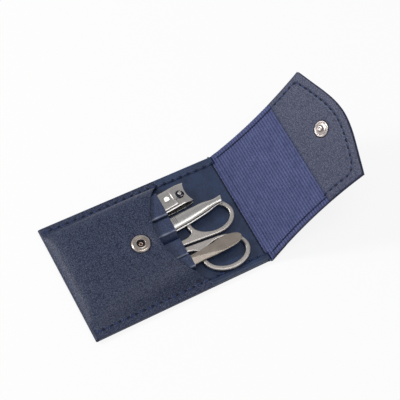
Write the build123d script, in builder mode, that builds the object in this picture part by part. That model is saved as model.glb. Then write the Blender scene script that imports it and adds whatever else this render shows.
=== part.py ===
from build123d import *

import os
from math import asin, cos, degrees, floor, radians, sin, sqrt, tan

# Manicure wallet lying on its back with its flap half raised, in millimetres.
# X runs across the wallet, Y from its closed end towards the flap, Z up.
# The origin is the middle of the pouch's underside. Stations along the pouch are
# measured from its closed end, and stations along the flap from the fold.

# ---- Pouch sizes ----
pouch_length = 106.0  # closed end to fold
end_width = 74.4  # across the closed end
fold_width = 72.0  # across the fold
leather = 0.8  # outer leather
board = 0.7  # stiffener between leather and lining
lining = 0.5  # inner lining
board_inset = 5.0  # stiffener edge to leather edge
border = 4.6  # flat stitched margin along each side
mouth_middle = 55.4  # station of the lowest point of the curved mouth
mouth_ends = 70.2  # station where the mouth meets the side margins
crown_stations = (0.0, 5.0, 14.0, 30.0, 46.0, 56.0, 74.0)
crown_heights = (3.3, 5.9, 7.4, 8.9, 10.3, 10.9, 10.9)
# control points of the arch across the pouch, as shares of its half width and rise
arch_left = ((-1.0, 0.0), (-1.0, 1.1), (-0.92, 1.0), (-0.5, 1.0), (0.0, 1.0))
arch_right = ((0.0, 1.0), (0.45, 1.0), (0.8, 1.0), (0.88, 0.3), (1.0, 0.0))

# ---- Flap sizes ----
raised_angle = 44.0  # flap above the flat, open position
spine_width = 7.8  # strip that stands up as the back edge when closed
closing_slope = 2.0  # closed flap rises this much towards the snap
flap_fold_width = fold_width + 1.0
flap_waist_width = flap_fold_width - 4.4
flap_corner_width = flap_fold_width - 0.6
flap_waist = 45.0  # station of the waist
flap_corner = 72.9  # station of the two corners
flap_tip = 82.8  # station of the rounded point
ribbed_end = 47.9  # station where ribbed lining meets the leather facing
hinge_gap = 0.15  # each side of a fold

# ---- Snap fastener ----
snap_from_end = 46.0  # socket centre from the closed end
seat_radius = 5.7
seat_depth = 0.35  # flat seat below the crest
socket_radius = 5.5
socket_height = 1.1
socket_cup_radius = 2.6
socket_cup_depth = 0.9
socket_bore_radius = 2.0
spring_wire = 0.2
stud_radius = 4.5
stud_flange = 0.5
stud_nub_radius = 1.7
stud_nub_length = 1.6
snap_pin_radius = 0.9
cap_radius = 6.0
cap_height = 0.7
eyelet_radius = 4.0
snap_fit = 0.05

# ---- Stitches ----
stitch_inset = 4.0  # seam to the leather edge, pouch sides
flap_stitch_inset = 4.6
stitch_pitch = 4.8
flap_stitch_pitch = 4.1
seam_rounding = 5.0
stitch_length = 3.3
stitch_width = 0.6
stitch_height = 0.15
seam_start = 4.0  # closed end to the first side stitch
holder_thread = 0.3
holder_stitch_length = 2.2
holder_stitch_pitch = 3.3

# ---- Tools lying in the pouch ----
lay_gap = 0.25  # tool to whatever it lies on
loop_gap = 0.3  # tool to the wall of its loop

clipper_length = 56.0
clipper_width = 12.6
clipper_plate = 1.1
clipper_tail_width = 11.0
clipper_skew = 3.5
clipper_x = -19.6  # middle of the cutting edge
clipper_front = 83.5  # station of the cutting edge
clipper_spread = 5.2  # angle between the two plates at rest
clipper_pivot = 3.0  # tail end to the rivet
clipper_jaw_drop = 1.7  # bent lip of each jaw
clipper_bite = 1.7  # depth of the concave cutting edge
clipper_pin_back = 5.4  # pin axis behind the cutting edge
clipper_pin_radius = 1.0
clipper_pin_head_radius = 1.7
clipper_hole_radius = 2.7
lever_width = 10.2
lever_plate = 0.8
lever_front = 8.6  # lever shoulder behind the cutting edge
lever_fork_width = 4.2
lever_dimple_radius = 1.5

tweezers_length = 84.0
tweezers_arm = 0.9
tweezers_gap = 0.8
tweezers_width = 7.5
tweezers_heel_width = 5.6
tweezers_neck_width = 3.4
tweezers_tip_width = 4.2
tweezers_heel = 9.8  # length of the welded heel
tweezers_skew = 3.0
tweezers_pitch = 3.0
tweezers_x = -6.9  # middle of the tip
tweezers_front = 98.4  # station of the tip

scissors_thickness = 2.2
scissors_x = 7.2  # pivot
scissors_pivot = 42.0  # station of the pivot
scissors_skew = -4.7
scissors_boss_radius = 4.2
scissors_blade = 33.0  # pivot to blade tip
scissors_shank_width = 3.0
scissors_slit = 1.4  # between the two finger rings
ring_width = 21.3
ring_length = 27.8
ring_stroke = 2.6
ring_middle = 44.5  # pivot to the middle of the rings
rivet_radius = 1.5
rivet_head_radius = 2.4
rivet_head = 0.5
rivet_fit = 0.05

pusher_length = 87.5
pusher_width = 8.2
pusher_tang_width = 5.8
pusher_plate = 0.8
pusher_trough_radius = 8.0
pusher_paddle = 24.5  # tip to the shoulders
pusher_swell = 13.0  # shoulders to the widest place
pusher_taper = 12.0  # pointed hidden end
pusher_skew = 2.6
pusher_pitch = 2.85
pusher_x = 17.9  # middle of the tip
pusher_front = 96.5  # station of the tip

holder_back = 52.5  # station of the holder strip's lower edge
holder_front = 66.5  # station of the holder strip's upper edge
holder_half_width = 29.0
holder_leather = 0.5
loop_lean = 0.2  # each loop is this much wider at its foot on each side

# ---- Derived places ----
end_y = -pouch_length / 2
fold_y = pouch_length / 2
floor_z = leather + board + lining
spread_taper = (end_width - fold_width) / 2 / pouch_length


def half_width(station):
    """Half width of the pouch at a station."""
    return end_width / 2 - spread_taper * station


def margin_x(station):
    """Inner edge of the stitched margin at a station."""
    return half_width(station) - border


def crown_height(station):
    """Height of the front leather's crest at a station."""
    pairs = list(zip(crown_stations, crown_heights))
    for (s0, h0), (s1, h1) in zip(pairs, pairs[1:]):
        if s0 <= station <= s1:
            return h0 + (h1 - h0) * (station - s0) / (s1 - s0)
    return pairs[-1][1]


def tool_plane(x, y, z, skew, pitch=0.0):
    """Plane under a tool: local X across it, local Y towards the flap, local Z up."""
    s, p = radians(skew), radians(pitch)
    return Plane(
        origin=(x, y, z),
        x_dir=(cos(s), sin(s), 0),
        z_dir=(sin(s) * sin(p), -cos(s) * sin(p), cos(p)),
    )


def side_plane(plane):
    """Plane along a tool's length: local X towards the flap, local Y up."""
    return Plane(origin=plane.origin, x_dir=plane.y_dir, z_dir=plane.x_dir)


def pouch_outline(inset=0.0):
    """Tapered outline of the pouch, drawn on XY."""
    back, front = half_width(0) - inset, half_width(pouch_length) - inset
    with BuildSketch() as outline:
        with BuildLine():
            Polyline(
                (-back, end_y + inset), (back, end_y + inset),
                (front, fold_y - max(inset, hinge_gap)), (-front, fold_y - max(inset, hinge_gap)),
                close=True,
            )
        make_face()
    return outline.sketch


def save(builder, name):
    """Label a finished piece and write it as STEP."""
    builder.part.label = name
    export_step(builder.part, f"parts/{name}.step")


os.makedirs("parts", exist_ok=True)

# ---- Back of the pouch: leather, stiffener, lining ----
with BuildPart() as back_leather:
    with BuildSketch():
        add(pouch_outline())
    extrude(amount=leather)
save(back_leather, "back_leather")

with BuildPart() as back_board:
    with BuildSketch(Plane.XY.offset(leather)):
        add(pouch_outline(board_inset))
    extrude(amount=board)
save(back_board, "back_board")

with BuildPart() as inner_panel:
    with BuildSketch(Plane.XY.offset(leather)):
        add(pouch_outline())
        with Locations((0, end_y)):
            Rectangle(2 * end_width, 2 * leather, mode=Mode.SUBTRACT)
    extrude(amount=board + lining)
    with BuildSketch(Plane.XY.offset(leather)):
        add(pouch_outline(board_inset))
    extrude(amount=board, mode=Mode.SUBTRACT)
save(inner_panel, "inner_panel")

# ---- Front of the pouch: one puffed leather piece with side margins ----
with BuildPart() as front_leather:
    for station, crown in zip(crown_stations, crown_heights):
        edge, arch = half_width(station), margin_x(station)
        foot = floor_z + leather
        with BuildSketch(Plane.XZ.offset(-(end_y + station))):
            with BuildLine():
                Polyline((-arch, foot), (-edge, foot), (-edge, floor_z), (edge, floor_z),
                         (edge, foot), (arch, foot))
                for controls in (arch_left, arch_right):
                    Bezier(*[(x * arch, foot + (crown - foot) * rise) for x, rise in controls])
            make_face()
    loft()
    for station, crown in zip(crown_stations, crown_heights):
        arch = margin_x(station) - leather
        top = crown - leather
        ahead = leather if station == 0 else 0.0
        with BuildSketch(Plane.XZ.offset(-(end_y + station + ahead))):
            with BuildLine():
                Line((-arch, floor_z), (arch, floor_z))
                for controls in (arch_left, arch_right):
                    Bezier(*[(x * arch, floor_z + (top - floor_z) * rise) for x, rise in controls])
            make_face()
    loft(mode=Mode.SUBTRACT)
    # side margins, which run on to the fold
    with BuildSketch(Plane.XY.offset(floor_z)):
        add(pouch_outline())
        with BuildLine():
            Polyline((-margin_x(0), end_y), (margin_x(0), end_y), (margin_x(pouch_length), fold_y),
                     (-margin_x(pouch_length), fold_y), close=True)
        make_face(mode=Mode.SUBTRACT)
    extrude(amount=leather)
    # end wall that folds down to the back leather
    with BuildSketch(Plane.XY.offset(leather)):
        with Locations((0, end_y)):
            Rectangle(end_width, leather, align=(Align.CENTER, Align.MIN))
    extrude(amount=floor_z - leather + 0.01)
    # curved mouth, with the two margins running on to the fold
    with BuildSketch(Plane.XY.offset(floor_z - 0.01)):
        corner, fold_corner = margin_x(mouth_ends), margin_x(pouch_length)
        with BuildLine():
            ThreePointArc((-corner, end_y + mouth_ends), (0, end_y + mouth_middle),
                          (corner, end_y + mouth_ends))
            Polyline((corner, end_y + mouth_ends), (fold_corner, fold_y + 1),
                     (-fold_corner, fold_y + 1), (-corner, end_y + mouth_ends))
        make_face()
    extrude(amount=2 * max(crown_heights), mode=Mode.SUBTRACT)
    # flat seat and hole for the snap socket
    socket_y = end_y + snap_from_end
    seat_z = crown_height(snap_from_end) - seat_depth
    with BuildSketch(Plane.XY.offset(seat_z)):
        with Locations((0, socket_y)):
            Circle(seat_radius)
    extrude(amount=2, mode=Mode.SUBTRACT)
    with BuildSketch(Plane.XY.offset(floor_z)):
        with Locations((0, socket_y)):
            Circle(socket_cup_radius + snap_fit)
    extrude(amount=max(crown_heights), mode=Mode.SUBTRACT)
save(front_leather, "front_leather")

# ---- Flap and spine ----
flap_plane = Plane(
    origin=(0, fold_y, floor_z),
    x_dir=(1, 0, 0),
    z_dir=(0, -sin(radians(raised_angle)), cos(radians(raised_angle))),
)
stack = leather + board + lining


def flap_outline(start, end, inset=0.0, rounding=0.0):
    """Part of the flap's outline between two stations, drawn on XY."""
    fold, waist, corner = (
        width / 2 - inset for width in (flap_fold_width, flap_waist_width, flap_corner_width)
    )
    rise, chord = flap_tip - flap_corner, flap_corner_width / 2
    radius = (chord**2 + rise**2) / (2 * rise)
    corner_y = flap_tip - radius + sqrt((radius - inset) ** 2 - corner**2)
    with BuildSketch() as outline:
        with BuildLine():
            Line((-fold, 0), (fold, 0))
            Spline((fold, 0), (waist, flap_waist), (corner, corner_y))
            ThreePointArc((corner, corner_y), (0, flap_tip - inset), (-corner, corner_y))
            Spline((-corner, corner_y), (-waist, flap_waist), (-fold, 0))
        make_face()
        if rounding:
            fillet(outline.vertices().filter_by_position(Axis.Y, corner_y - 1, corner_y + 1), rounding)
        with Locations((0, start)):
            Rectangle(2 * flap_fold_width, end - start, align=(Align.CENTER, Align.MIN),
                      mode=Mode.INTERSECT)
    return outline.sketch


spine_start, spine_end = hinge_gap, spine_width - hinge_gap
flap_start, flap_end = spine_width + hinge_gap, flap_tip + 1
layers = {
    "spine_leather": (spine_start, spine_end, 0, -stack, leather),
    "spine_lining": (spine_start, spine_end, 0, leather - stack, board + lining),
    "flap_leather": (flap_start, flap_end, 0, -stack, leather),
    "flap_board": (flap_start + board_inset, flap_end, board_inset, leather - stack, board),
}
flap_pieces = {}
for name, (start, end, inset, height, thickness) in layers.items():
    with BuildPart() as layer:
        with BuildSketch(flap_plane.offset(height)):
            add(flap_outline(start, end, inset))
        extrude(amount=thickness)
    flap_pieces[name] = layer

snap_from_fold = spine_width + (pouch_length - snap_from_end) / cos(radians(closing_slope))

for name, start, end in (
    ("flap_ribbed_lining", flap_start, ribbed_end),
    ("flap_facing", ribbed_end, flap_end),
):
    with BuildPart() as layer:
        with BuildSketch(flap_plane.offset(leather - stack)):
            add(flap_outline(start, end))
        extrude(amount=board + lining)
        with BuildSketch(flap_plane.offset(leather - stack)):
            add(flap_outline(flap_start + board_inset, flap_end, board_inset))
        extrude(amount=board, mode=Mode.SUBTRACT)
    flap_pieces[name] = layer

for name in ("flap_leather", "flap_board", "flap_facing"):
    with BuildPart() as pierced:
        add(flap_pieces[name].part)
        with BuildSketch(flap_plane.offset(-stack - cap_height)):
            with Locations((0, snap_from_fold)):
                Circle(snap_pin_radius + snap_fit)
        extrude(amount=stack + 2 * cap_height, mode=Mode.SUBTRACT)
    flap_pieces[name] = pierced

for name, piece in flap_pieces.items():
    save(piece, name)

# ---- Snap fastener ----
socket_axis = Axis((0, socket_y, 0), (0, 0, 1))
socket_top = seat_z + socket_height
cup_floor = seat_z - socket_cup_depth
groove_z = seat_z + 0.35

with BuildPart() as snap_socket:
    with BuildSketch(Plane.XZ.offset(-socket_y)):
        with BuildLine():
            Polyline(
                (snap_pin_radius + snap_fit, cup_floor), (socket_cup_radius, cup_floor),
                (socket_cup_radius, seat_z), (socket_radius, seat_z),
                (socket_radius, socket_top - 0.2), (socket_radius - 0.3, socket_top),
                (socket_radius - 0.9, socket_top), (socket_radius - 1.2, socket_top - 0.5),
                (socket_cup_radius + 0.6, socket_top - 0.5), (socket_cup_radius + 0.3, socket_top),
                (socket_bore_radius + 0.2, socket_top), (socket_bore_radius, socket_top - 0.2),
                (socket_bore_radius, groove_z + 0.25), (socket_bore_radius + 0.35, groove_z + 0.25),
                (socket_bore_radius + 0.35, groove_z - 0.25), (socket_bore_radius, groove_z - 0.25),
                (socket_bore_radius, cup_floor + 0.3), (snap_pin_radius + snap_fit, cup_floor + 0.3),
                close=True,
            )
        make_face()
    revolve(axis=socket_axis)
save(snap_socket, "snap_socket")

with BuildPart() as snap_spring:
    with BuildSketch(Plane.XZ.offset(-socket_y)):
        with Locations((socket_bore_radius + 0.1, groove_z)):
            Circle(spring_wire)
    revolve(axis=socket_axis, revolution_arc=330)
save(snap_spring, "snap_spring")

with BuildPart() as snap_eyelet:
    roll_z = cup_floor + 0.3
    with BuildSketch(Plane.XZ.offset(-socket_y)):
        with BuildLine():
            Polyline(
                (0.5, cup_floor - 0.4), (eyelet_radius, cup_floor - 0.4),
                (eyelet_radius, cup_floor), (snap_pin_radius, cup_floor),
                (snap_pin_radius, roll_z), (1.5, roll_z), (1.5, roll_z + 0.2),
                (1.2, roll_z + 0.35), (0.5, roll_z + 0.35),
                close=True,
            )
        make_face()
    revolve(axis=socket_axis)
save(snap_eyelet, "snap_eyelet")

# the stud and its cap stand on the flap; the cap's pin goes through all the layers
stud_plane = Plane(
    origin=flap_plane.from_local_coords((0, snap_from_fold, 0)),
    x_dir=(1, 0, 0),
    z_dir=flap_plane.z_dir,
)
stud_section = Plane(origin=stud_plane.origin, x_dir=(1, 0, 0), z_dir=-stud_plane.y_dir)
stud_axis = Axis(stud_plane.origin, stud_plane.z_dir)

with BuildPart() as snap_stud:
    nub_top = stud_flange + stud_nub_length
    with BuildSketch(stud_section):
        with BuildLine():
            Polyline(
                (snap_pin_radius + snap_fit, 0), (stud_radius, 0), (stud_radius, 0.25),
                (stud_radius - 0.5, stud_flange), (stud_nub_radius + 0.5, stud_flange),
                (stud_nub_radius - 0.25, stud_flange + 0.35),
                (stud_nub_radius, nub_top - 0.6), (stud_nub_radius - 0.3, nub_top),
                (snap_pin_radius + snap_fit, nub_top),
                close=True,
            )
        make_face()
    revolve(axis=stud_axis)
save(snap_stud, "snap_stud")

with BuildPart() as snap_cap:
    with BuildSketch(stud_section):
        with BuildLine():
            Polyline(
                (0, -stack - cap_height), (cap_radius - 1.2, -stack - cap_height),
                (cap_radius, -stack - 0.2), (cap_radius, -stack), (snap_pin_radius, -stack),
                (snap_pin_radius, nub_top - 0.2), (0, nub_top - 0.2),
                close=True,
            )
        make_face()
    revolve(axis=stud_axis)
save(snap_cap, "snap_cap")

# ---- Nail clipper, in a frame at its tail end ----
clipper_lean = radians(clipper_skew)
clipper_z = floor_z + lay_gap
clipper_plane = tool_plane(
    clipper_x + clipper_length * sin(clipper_lean),
    end_y + clipper_front - clipper_length * cos(clipper_lean),
    clipper_z, clipper_skew,
)
upper_origin = side_plane(clipper_plane).from_local_coords((clipper_pivot, clipper_plate + 0.1, 0))
upper_plane = tool_plane(*upper_origin, clipper_skew, clipper_spread)
reach = clipper_length - clipper_pivot
pin_station = clipper_length - clipper_pin_back
pin_reach = (pin_station - clipper_pivot) / cos(radians(clipper_spread))


def clipper_outline(start, length, width, tail_width):
    """Plan view of a clipper plate with a rounded tail and a concave cutting edge."""
    with BuildSketch() as outline:
        with BuildLine():
            Polyline((-width / 2, length), (-width / 2, length * 0.55), (-tail_width / 2, start + 3))
            ThreePointArc((-tail_width / 2, start + 3), (0, start), (tail_width / 2, start + 3))
            Polyline((tail_width / 2, start + 3), (width / 2, length * 0.55), (width / 2, length))
            ThreePointArc((width / 2, length), (0, length - clipper_bite), (-width / 2, length))
        make_face()
    return outline.sketch


def jaw_plate(length, lip):
    """Side view of a plate whose front end is bent by lip, drawn from its tail."""
    turned = clipper_plate if lip > 0 else 0.0
    far = clipper_plate - turned
    with BuildSketch() as profile:
        with BuildLine():
            Polyline((-5, far), (length - 5, far), (length, far + lip), (length, turned + lip),
                     (length - 1.2, turned + lip), (length - 5.4, turned), (-5, turned), close=True)
        make_face()
    return profile.sketch


with BuildPart() as clipper_lower_jaw:
    with BuildSketch(side_plane(clipper_plane)):
        add(jaw_plate(clipper_length, clipper_jaw_drop))
    extrude(amount=clipper_width, both=True)
    with BuildSketch(clipper_plane.offset(-1)):
        add(clipper_outline(0, clipper_length, clipper_width, clipper_tail_width))
    extrude(amount=3 * clipper_jaw_drop + 2, mode=Mode.INTERSECT)
    with BuildSketch(clipper_plane.offset(-1)):
        with Locations((0, pin_station)):
            Circle(clipper_pin_radius)
        with Locations((0, clipper_pivot)):
            Circle(clipper_pin_radius)
    extrude(amount=5, mode=Mode.SUBTRACT)
save(clipper_lower_jaw, "clipper_lower_jaw")

with BuildPart() as clipper_upper_jaw:
    with BuildSketch(side_plane(upper_plane)):
        add(jaw_plate(reach, -clipper_jaw_drop))
    extrude(amount=clipper_width, both=True)
    with BuildSketch(upper_plane.offset(-4)):
        add(clipper_outline(-clipper_pivot, reach, clipper_width, clipper_tail_width))
    extrude(amount=8, mode=Mode.INTERSECT)
    with BuildSketch(upper_plane.offset(-4)):
        with Locations((0, pin_reach)):
            Circle(clipper_hole_radius)
        with Locations((0, 0)):
            Circle(clipper_pin_radius + 0.2)
    extrude(amount=8, mode=Mode.SUBTRACT)
    # tail edge eased so that it clears the lower plate
    with BuildSketch(clipper_plane.offset(-1)):
        Rectangle(2 * clipper_width, 2 * clipper_length)
    extrude(amount=clipper_plate + 1.05, mode=Mode.SUBTRACT)
save(clipper_upper_jaw, "clipper_upper_jaw")

with BuildPart() as clipper_lever:
    lever_end = reach - lever_front
    lever_plane = upper_plane.offset(clipper_plate + 0.1)
    with BuildSketch(lever_plane):
        with BuildLine():
            side = lever_width / 2
            Polyline((-side, 4), (-side, lever_end - 1), (-side + 1, lever_end),
                     (-lever_fork_width / 2, lever_end))
            Polyline((-lever_fork_width / 2, lever_end), (-lever_fork_width / 2, pin_reach + 1.5),
                     (lever_fork_width / 2, pin_reach + 1.5), (lever_fork_width / 2, lever_end))
            Polyline((lever_fork_width / 2, lever_end), (side - 1, lever_end),
                     (side, lever_end - 1), (side, 4))
            ThreePointArc((side, 4), (0, -2), (-side, 4))
        make_face()
        with Locations((0, pin_reach)):
            SlotCenterPoint((0, 0), (0, 2), 2 * clipper_pin_radius + 0.5, mode=Mode.SUBTRACT)
        with Locations((0, pin_reach + 2)):
            Rectangle(2 * clipper_pin_radius + 0.5, 4, mode=Mode.SUBTRACT)
    extrude(amount=lever_plate)
    with BuildSketch(lever_plane.offset(lever_plate)):
        with Locations((0, lever_end - 4.5)):
            Circle(lever_dimple_radius)
    extrude(amount=0.4, taper=30)
save(clipper_lever, "clipper_lever")

with BuildPart() as clipper_pin:
    pin_top = clipper_plate + 0.1 + pin_reach * sin(radians(clipper_spread))
    pin_neck = pin_top + clipper_plate + lever_plate + 0.5
    with BuildSketch(clipper_plane):
        with Locations((0, pin_station)):
            Circle(clipper_pin_radius)
    extrude(amount=pin_neck)
    with BuildSketch(clipper_plane.offset(pin_neck)):
        with Locations((0, pin_station)):
            Circle(clipper_pin_head_radius)
    extrude(amount=0.5, taper=20)
save(clipper_pin, "clipper_pin")

with BuildPart() as clipper_rivet:
    with BuildSketch(clipper_plane):
        with Locations((0, clipper_pivot)):
            Circle(clipper_pin_radius)
    extrude(amount=2 * clipper_plate)
save(clipper_rivet, "clipper_rivet")

# ---- Slant tweezers, in a frame at the heel ----
tweezers_run = tweezers_length * cos(radians(tweezers_pitch))
tweezers_plane = tool_plane(
    tweezers_x + tweezers_run * sin(radians(tweezers_skew)),
    end_y + tweezers_front - tweezers_run * cos(radians(tweezers_skew)),
    floor_z + lay_gap, tweezers_skew, tweezers_pitch,
)


def tweezers_outline():
    """Plan view of one arm, from the round heel to the slanted tip."""
    heel, wide = tweezers_heel_width / 2, tweezers_width / 2
    neck, tip = tweezers_neck_width / 2, tweezers_tip_width / 2
    length = tweezers_length
    with BuildSketch() as outline:
        with BuildLine():
            Spline((heel, 2), (wide * 0.92, length * 0.45), (wide, length * 0.62),
                   (wide * 0.72, length * 0.85), (neck, length - 5))
            Polyline((neck, length - 5), (tip, length - 1.3), (-tip, length), (-neck, length - 5))
            Spline((-neck, length - 5), (-wide * 0.88, length * 0.85), (-wide, length * 0.62),
                   (-wide * 0.92, length * 0.45), (-heel, 2))
            ThreePointArc((-heel, 2), (0, 0), (heel, 2))
        make_face()
    return outline.sketch


for name, profile in (
    ("tweezers_lower_arm", (
        (-1, 0), (tweezers_length + 1, 0), (tweezers_length + 1, tweezers_arm),
        (tweezers_heel, tweezers_arm), (tweezers_heel, 2 * tweezers_arm), (-1, 2 * tweezers_arm))),
    ("tweezers_upper_arm", (
        (tweezers_heel, tweezers_arm), (tweezers_length * 0.35, tweezers_arm + tweezers_gap),
        (tweezers_length + 1, tweezers_arm + tweezers_gap),
        (tweezers_length + 1, 2 * tweezers_arm + tweezers_gap),
        (tweezers_length * 0.35, 2 * tweezers_arm + tweezers_gap),
        (tweezers_heel, 2 * tweezers_arm))),
):
    with BuildPart() as arm:
        with BuildSketch(side_plane(tweezers_plane)):
            with BuildLine():
                Polyline(*profile, close=True)
            make_face()
        extrude(amount=tweezers_width, both=True)
        with BuildSketch(tweezers_plane.offset(-1)):
            add(tweezers_outline())
        extrude(amount=3 * tweezers_arm + tweezers_gap + 2, mode=Mode.INTERSECT)
    save(arm, name)

# ---- Nail scissors, in a frame at the pivot ----
scissors_z = floor_z + leather + stitch_height + 0.05
scissors_plane = tool_plane(scissors_x, end_y + scissors_pivot, scissors_z, scissors_skew)
half_thickness = scissors_thickness / 2
ring_x = (scissors_slit + ring_width) / 2
shank = scissors_slit / 2 + scissors_shank_width
shank_start = scissors_boss_radius + 0.3


def scissors_handle(side):
    """Shank, web and finger ring on one side of the slit, drawn on XY."""
    slit = scissors_slit / 2
    with BuildSketch() as handle:
        with Locations((side * ring_x, ring_middle)):
            Ellipse(ring_width / 2, ring_length / 2)
        with BuildLine():
            Polyline(
                (side * slit * 0.6, shank_start), (side * slit, ring_middle - ring_length * 0.6),
                (side * slit, ring_middle), (side * ring_x, ring_middle),
                (side * (ring_x - ring_width * 0.12), ring_middle - ring_length * 0.47),
                (side * (shank + 1.8), ring_middle - ring_length * 0.5),
                (side * (shank + 0.5), ring_middle - ring_length * 0.57),
                (side * shank, ring_middle - ring_length * 0.7), (side * shank, shank_start),
                close=True,
            )
        make_face()
        with Locations((side * ring_x, ring_middle)):
            Ellipse(ring_width / 2 - ring_stroke, ring_length / 2 - ring_stroke,
                    mode=Mode.SUBTRACT)
    return handle.sketch


def scissors_blade_outline(side):
    """Boss and blade on one side, with the neck that joins them to the shank."""
    with BuildSketch() as blade:
        Circle(scissors_boss_radius)
        with BuildLine():
            Polyline(
                (-side * 3.4, 0), (-side * 3.6, -8), (-side * 2.6, -scissors_blade * 0.6),
                (-side * 0.3, -scissors_blade), (side * 0.2, -scissors_blade),
                (side * 0.9, -scissors_blade * 0.6), (side * 1.2, 0), close=True,
            )
        make_face()
        with BuildLine():
            Polyline((side * scissors_slit * 0.3, 0), (side * scissors_slit * 0.3, shank_start),
                     (side * shank, shank_start), (side * shank * 0.9, 0), close=True)
        make_face()
        Circle(rivet_radius + rivet_fit, mode=Mode.SUBTRACT)
    return blade.sketch


for name, side, layer_height in (
    ("scissors_left_half", -1, 0.0),
    ("scissors_right_half", 1, half_thickness),
):
    with BuildPart() as half:
        with BuildSketch(scissors_plane):
            add(scissors_handle(side))
        extrude(amount=scissors_thickness)
        with BuildSketch(scissors_plane.offset(layer_height)):
            add(scissors_blade_outline(side))
        extrude(amount=half_thickness)
    save(half, name)

with BuildPart() as scissors_rivet:
    with BuildSketch(scissors_plane):
        Circle(rivet_radius)
    extrude(amount=scissors_thickness + 0.05)
    with BuildSketch(scissors_plane.offset(scissors_thickness + 0.05)):
        Circle(rivet_head_radius)
    extrude(amount=rivet_head, taper=25)
save(scissors_rivet, "scissors_rivet")

# ---- Cuticle pusher, in a frame at its hidden end ----
pusher_run = pusher_length * cos(radians(pusher_pitch))
pusher_plane = tool_plane(
    pusher_x + pusher_run * sin(radians(pusher_skew)),
    end_y + pusher_front - pusher_run * cos(radians(pusher_skew)),
    floor_z + lay_gap, pusher_skew, pusher_pitch,
)
with BuildPart() as cuticle_pusher:
    # trough: a band of a tube that runs the whole length
    with BuildSketch(Plane(origin=pusher_plane.origin, x_dir=pusher_plane.x_dir,
                           z_dir=-pusher_plane.y_dir)):
        with Locations((0, pusher_trough_radius)):
            Circle(pusher_trough_radius)
            Circle(pusher_trough_radius - pusher_plate, mode=Mode.SUBTRACT)
    extrude(amount=-pusher_length)
    with BuildSketch(pusher_plane.offset(-1)):
        wide, tang = pusher_width / 2, pusher_tang_width / 2
        shoulder = pusher_length - pusher_paddle
        with BuildLine():
            Polyline((-0.8, 0), (-tang, pusher_taper), (-tang, shoulder))
            Spline((-tang, shoulder), (-wide * 0.9, shoulder + pusher_swell * 0.4),
                   (-wide, shoulder + pusher_swell), (-wide * 0.8, pusher_length - 3),
                   (0, pusher_length), (wide * 0.8, pusher_length - 3),
                   (wide, shoulder + pusher_swell), (wide * 0.9, shoulder + pusher_swell * 0.4),
                   (tang, shoulder))
            Polyline((tang, shoulder), (tang, pusher_taper), (0.8, 0), (-0.8, 0))
        make_face()
    extrude(amount=pusher_trough_radius, mode=Mode.INTERSECT)
save(cuticle_pusher, "cuticle_pusher")

# ---- Holder strip with one loop over each tool ----


def edges_at(plane, half, station):
    """Left and right X of a tool of a half width where it crosses a station."""
    along = (end_y + station - plane.origin.Y) / plane.y_dir.Y
    middle = plane.origin.X + along * plane.y_dir.X
    return middle - half, middle + half


def loop_over(plane, half_left, half_right, top):
    """Inside of a loop: its walls clear the tool over the strip's whole height."""
    low_left, low_right = edges_at(plane, 0, holder_back)
    high_left, high_right = edges_at(plane, 0, holder_front)
    left = min(low_left, high_left) - half_left - loop_gap
    right = max(low_right, high_right) + half_right + loop_gap
    return left, right, top + loop_gap


def height_at(plane, station, height):
    """World height of a point this high above a tool's plane at a station."""
    along = (end_y + station - plane.origin.Y) / plane.y_dir.Y
    return plane.origin.Z + along * plane.y_dir.Z + height


scissors_opening = 2.5  # degrees, as far as the loop lets the scissors open
opening_shift = (holder_front - scissors_pivot) * tan(radians(scissors_opening))
lever_top = height_at(upper_plane, holder_front, clipper_plate + 0.1 + lever_plate)
tweezers_top = height_at(tweezers_plane, holder_front, 2 * tweezers_arm + tweezers_gap)
pusher_edge = pusher_tang_width / 2
pusher_rise = pusher_trough_radius - sqrt(pusher_trough_radius**2 - pusher_edge**2)
pusher_top = height_at(pusher_plane, holder_front, pusher_rise + pusher_plate)
loops = (
    loop_over(clipper_plane, clipper_width / 2, clipper_width / 2, lever_top),
    loop_over(tweezers_plane, tweezers_width / 2, tweezers_width / 2, tweezers_top),
    loop_over(scissors_plane, shank, shank + opening_shift, scissors_z + scissors_thickness),
    loop_over(pusher_plane, pusher_edge, pusher_edge, pusher_top),
)

with BuildPart() as holder_strip:
    with BuildSketch(Plane.XZ.offset(-(end_y + holder_back))):
        with Locations((0, floor_z)):
            Rectangle(2 * holder_half_width, holder_leather, align=(Align.CENTER, Align.MIN))
        for grow, mode in ((holder_leather, Mode.ADD), (0.0, Mode.SUBTRACT)):
            for left, right, top in loops:
                with BuildLine():
                    Polyline((left - loop_lean - grow, floor_z), (left - grow, top + grow),
                             (right + grow, top + grow), (right + loop_lean + grow, floor_z),
                             close=True)
                make_face(mode=mode)
    extrude(amount=-(holder_front - holder_back))
save(holder_strip, "holder_strip")

# ---- Stitches ----
seam_z = floor_z + leather
seam_count = floor((pouch_length - seam_start - stitch_length) / stitch_pitch) + 1
with BuildPart() as side_seam_threads:
    for side in (-1, 1):
        lean = -side * degrees(asin(spread_taper))
        stations = [seam_start + stitch_pitch * i for i in range(seam_count)]
        places = [
            Location((side * (half_width(s) - stitch_inset), end_y + s, seam_z), (0, 0, -lean))
            for s in stations
        ]
        with Locations(*places):
            Box(stitch_width, stitch_length, stitch_height,
                align=(Align.CENTER, Align.CENTER, Align.MIN))
save(side_seam_threads, "side_seam_threads")

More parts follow.
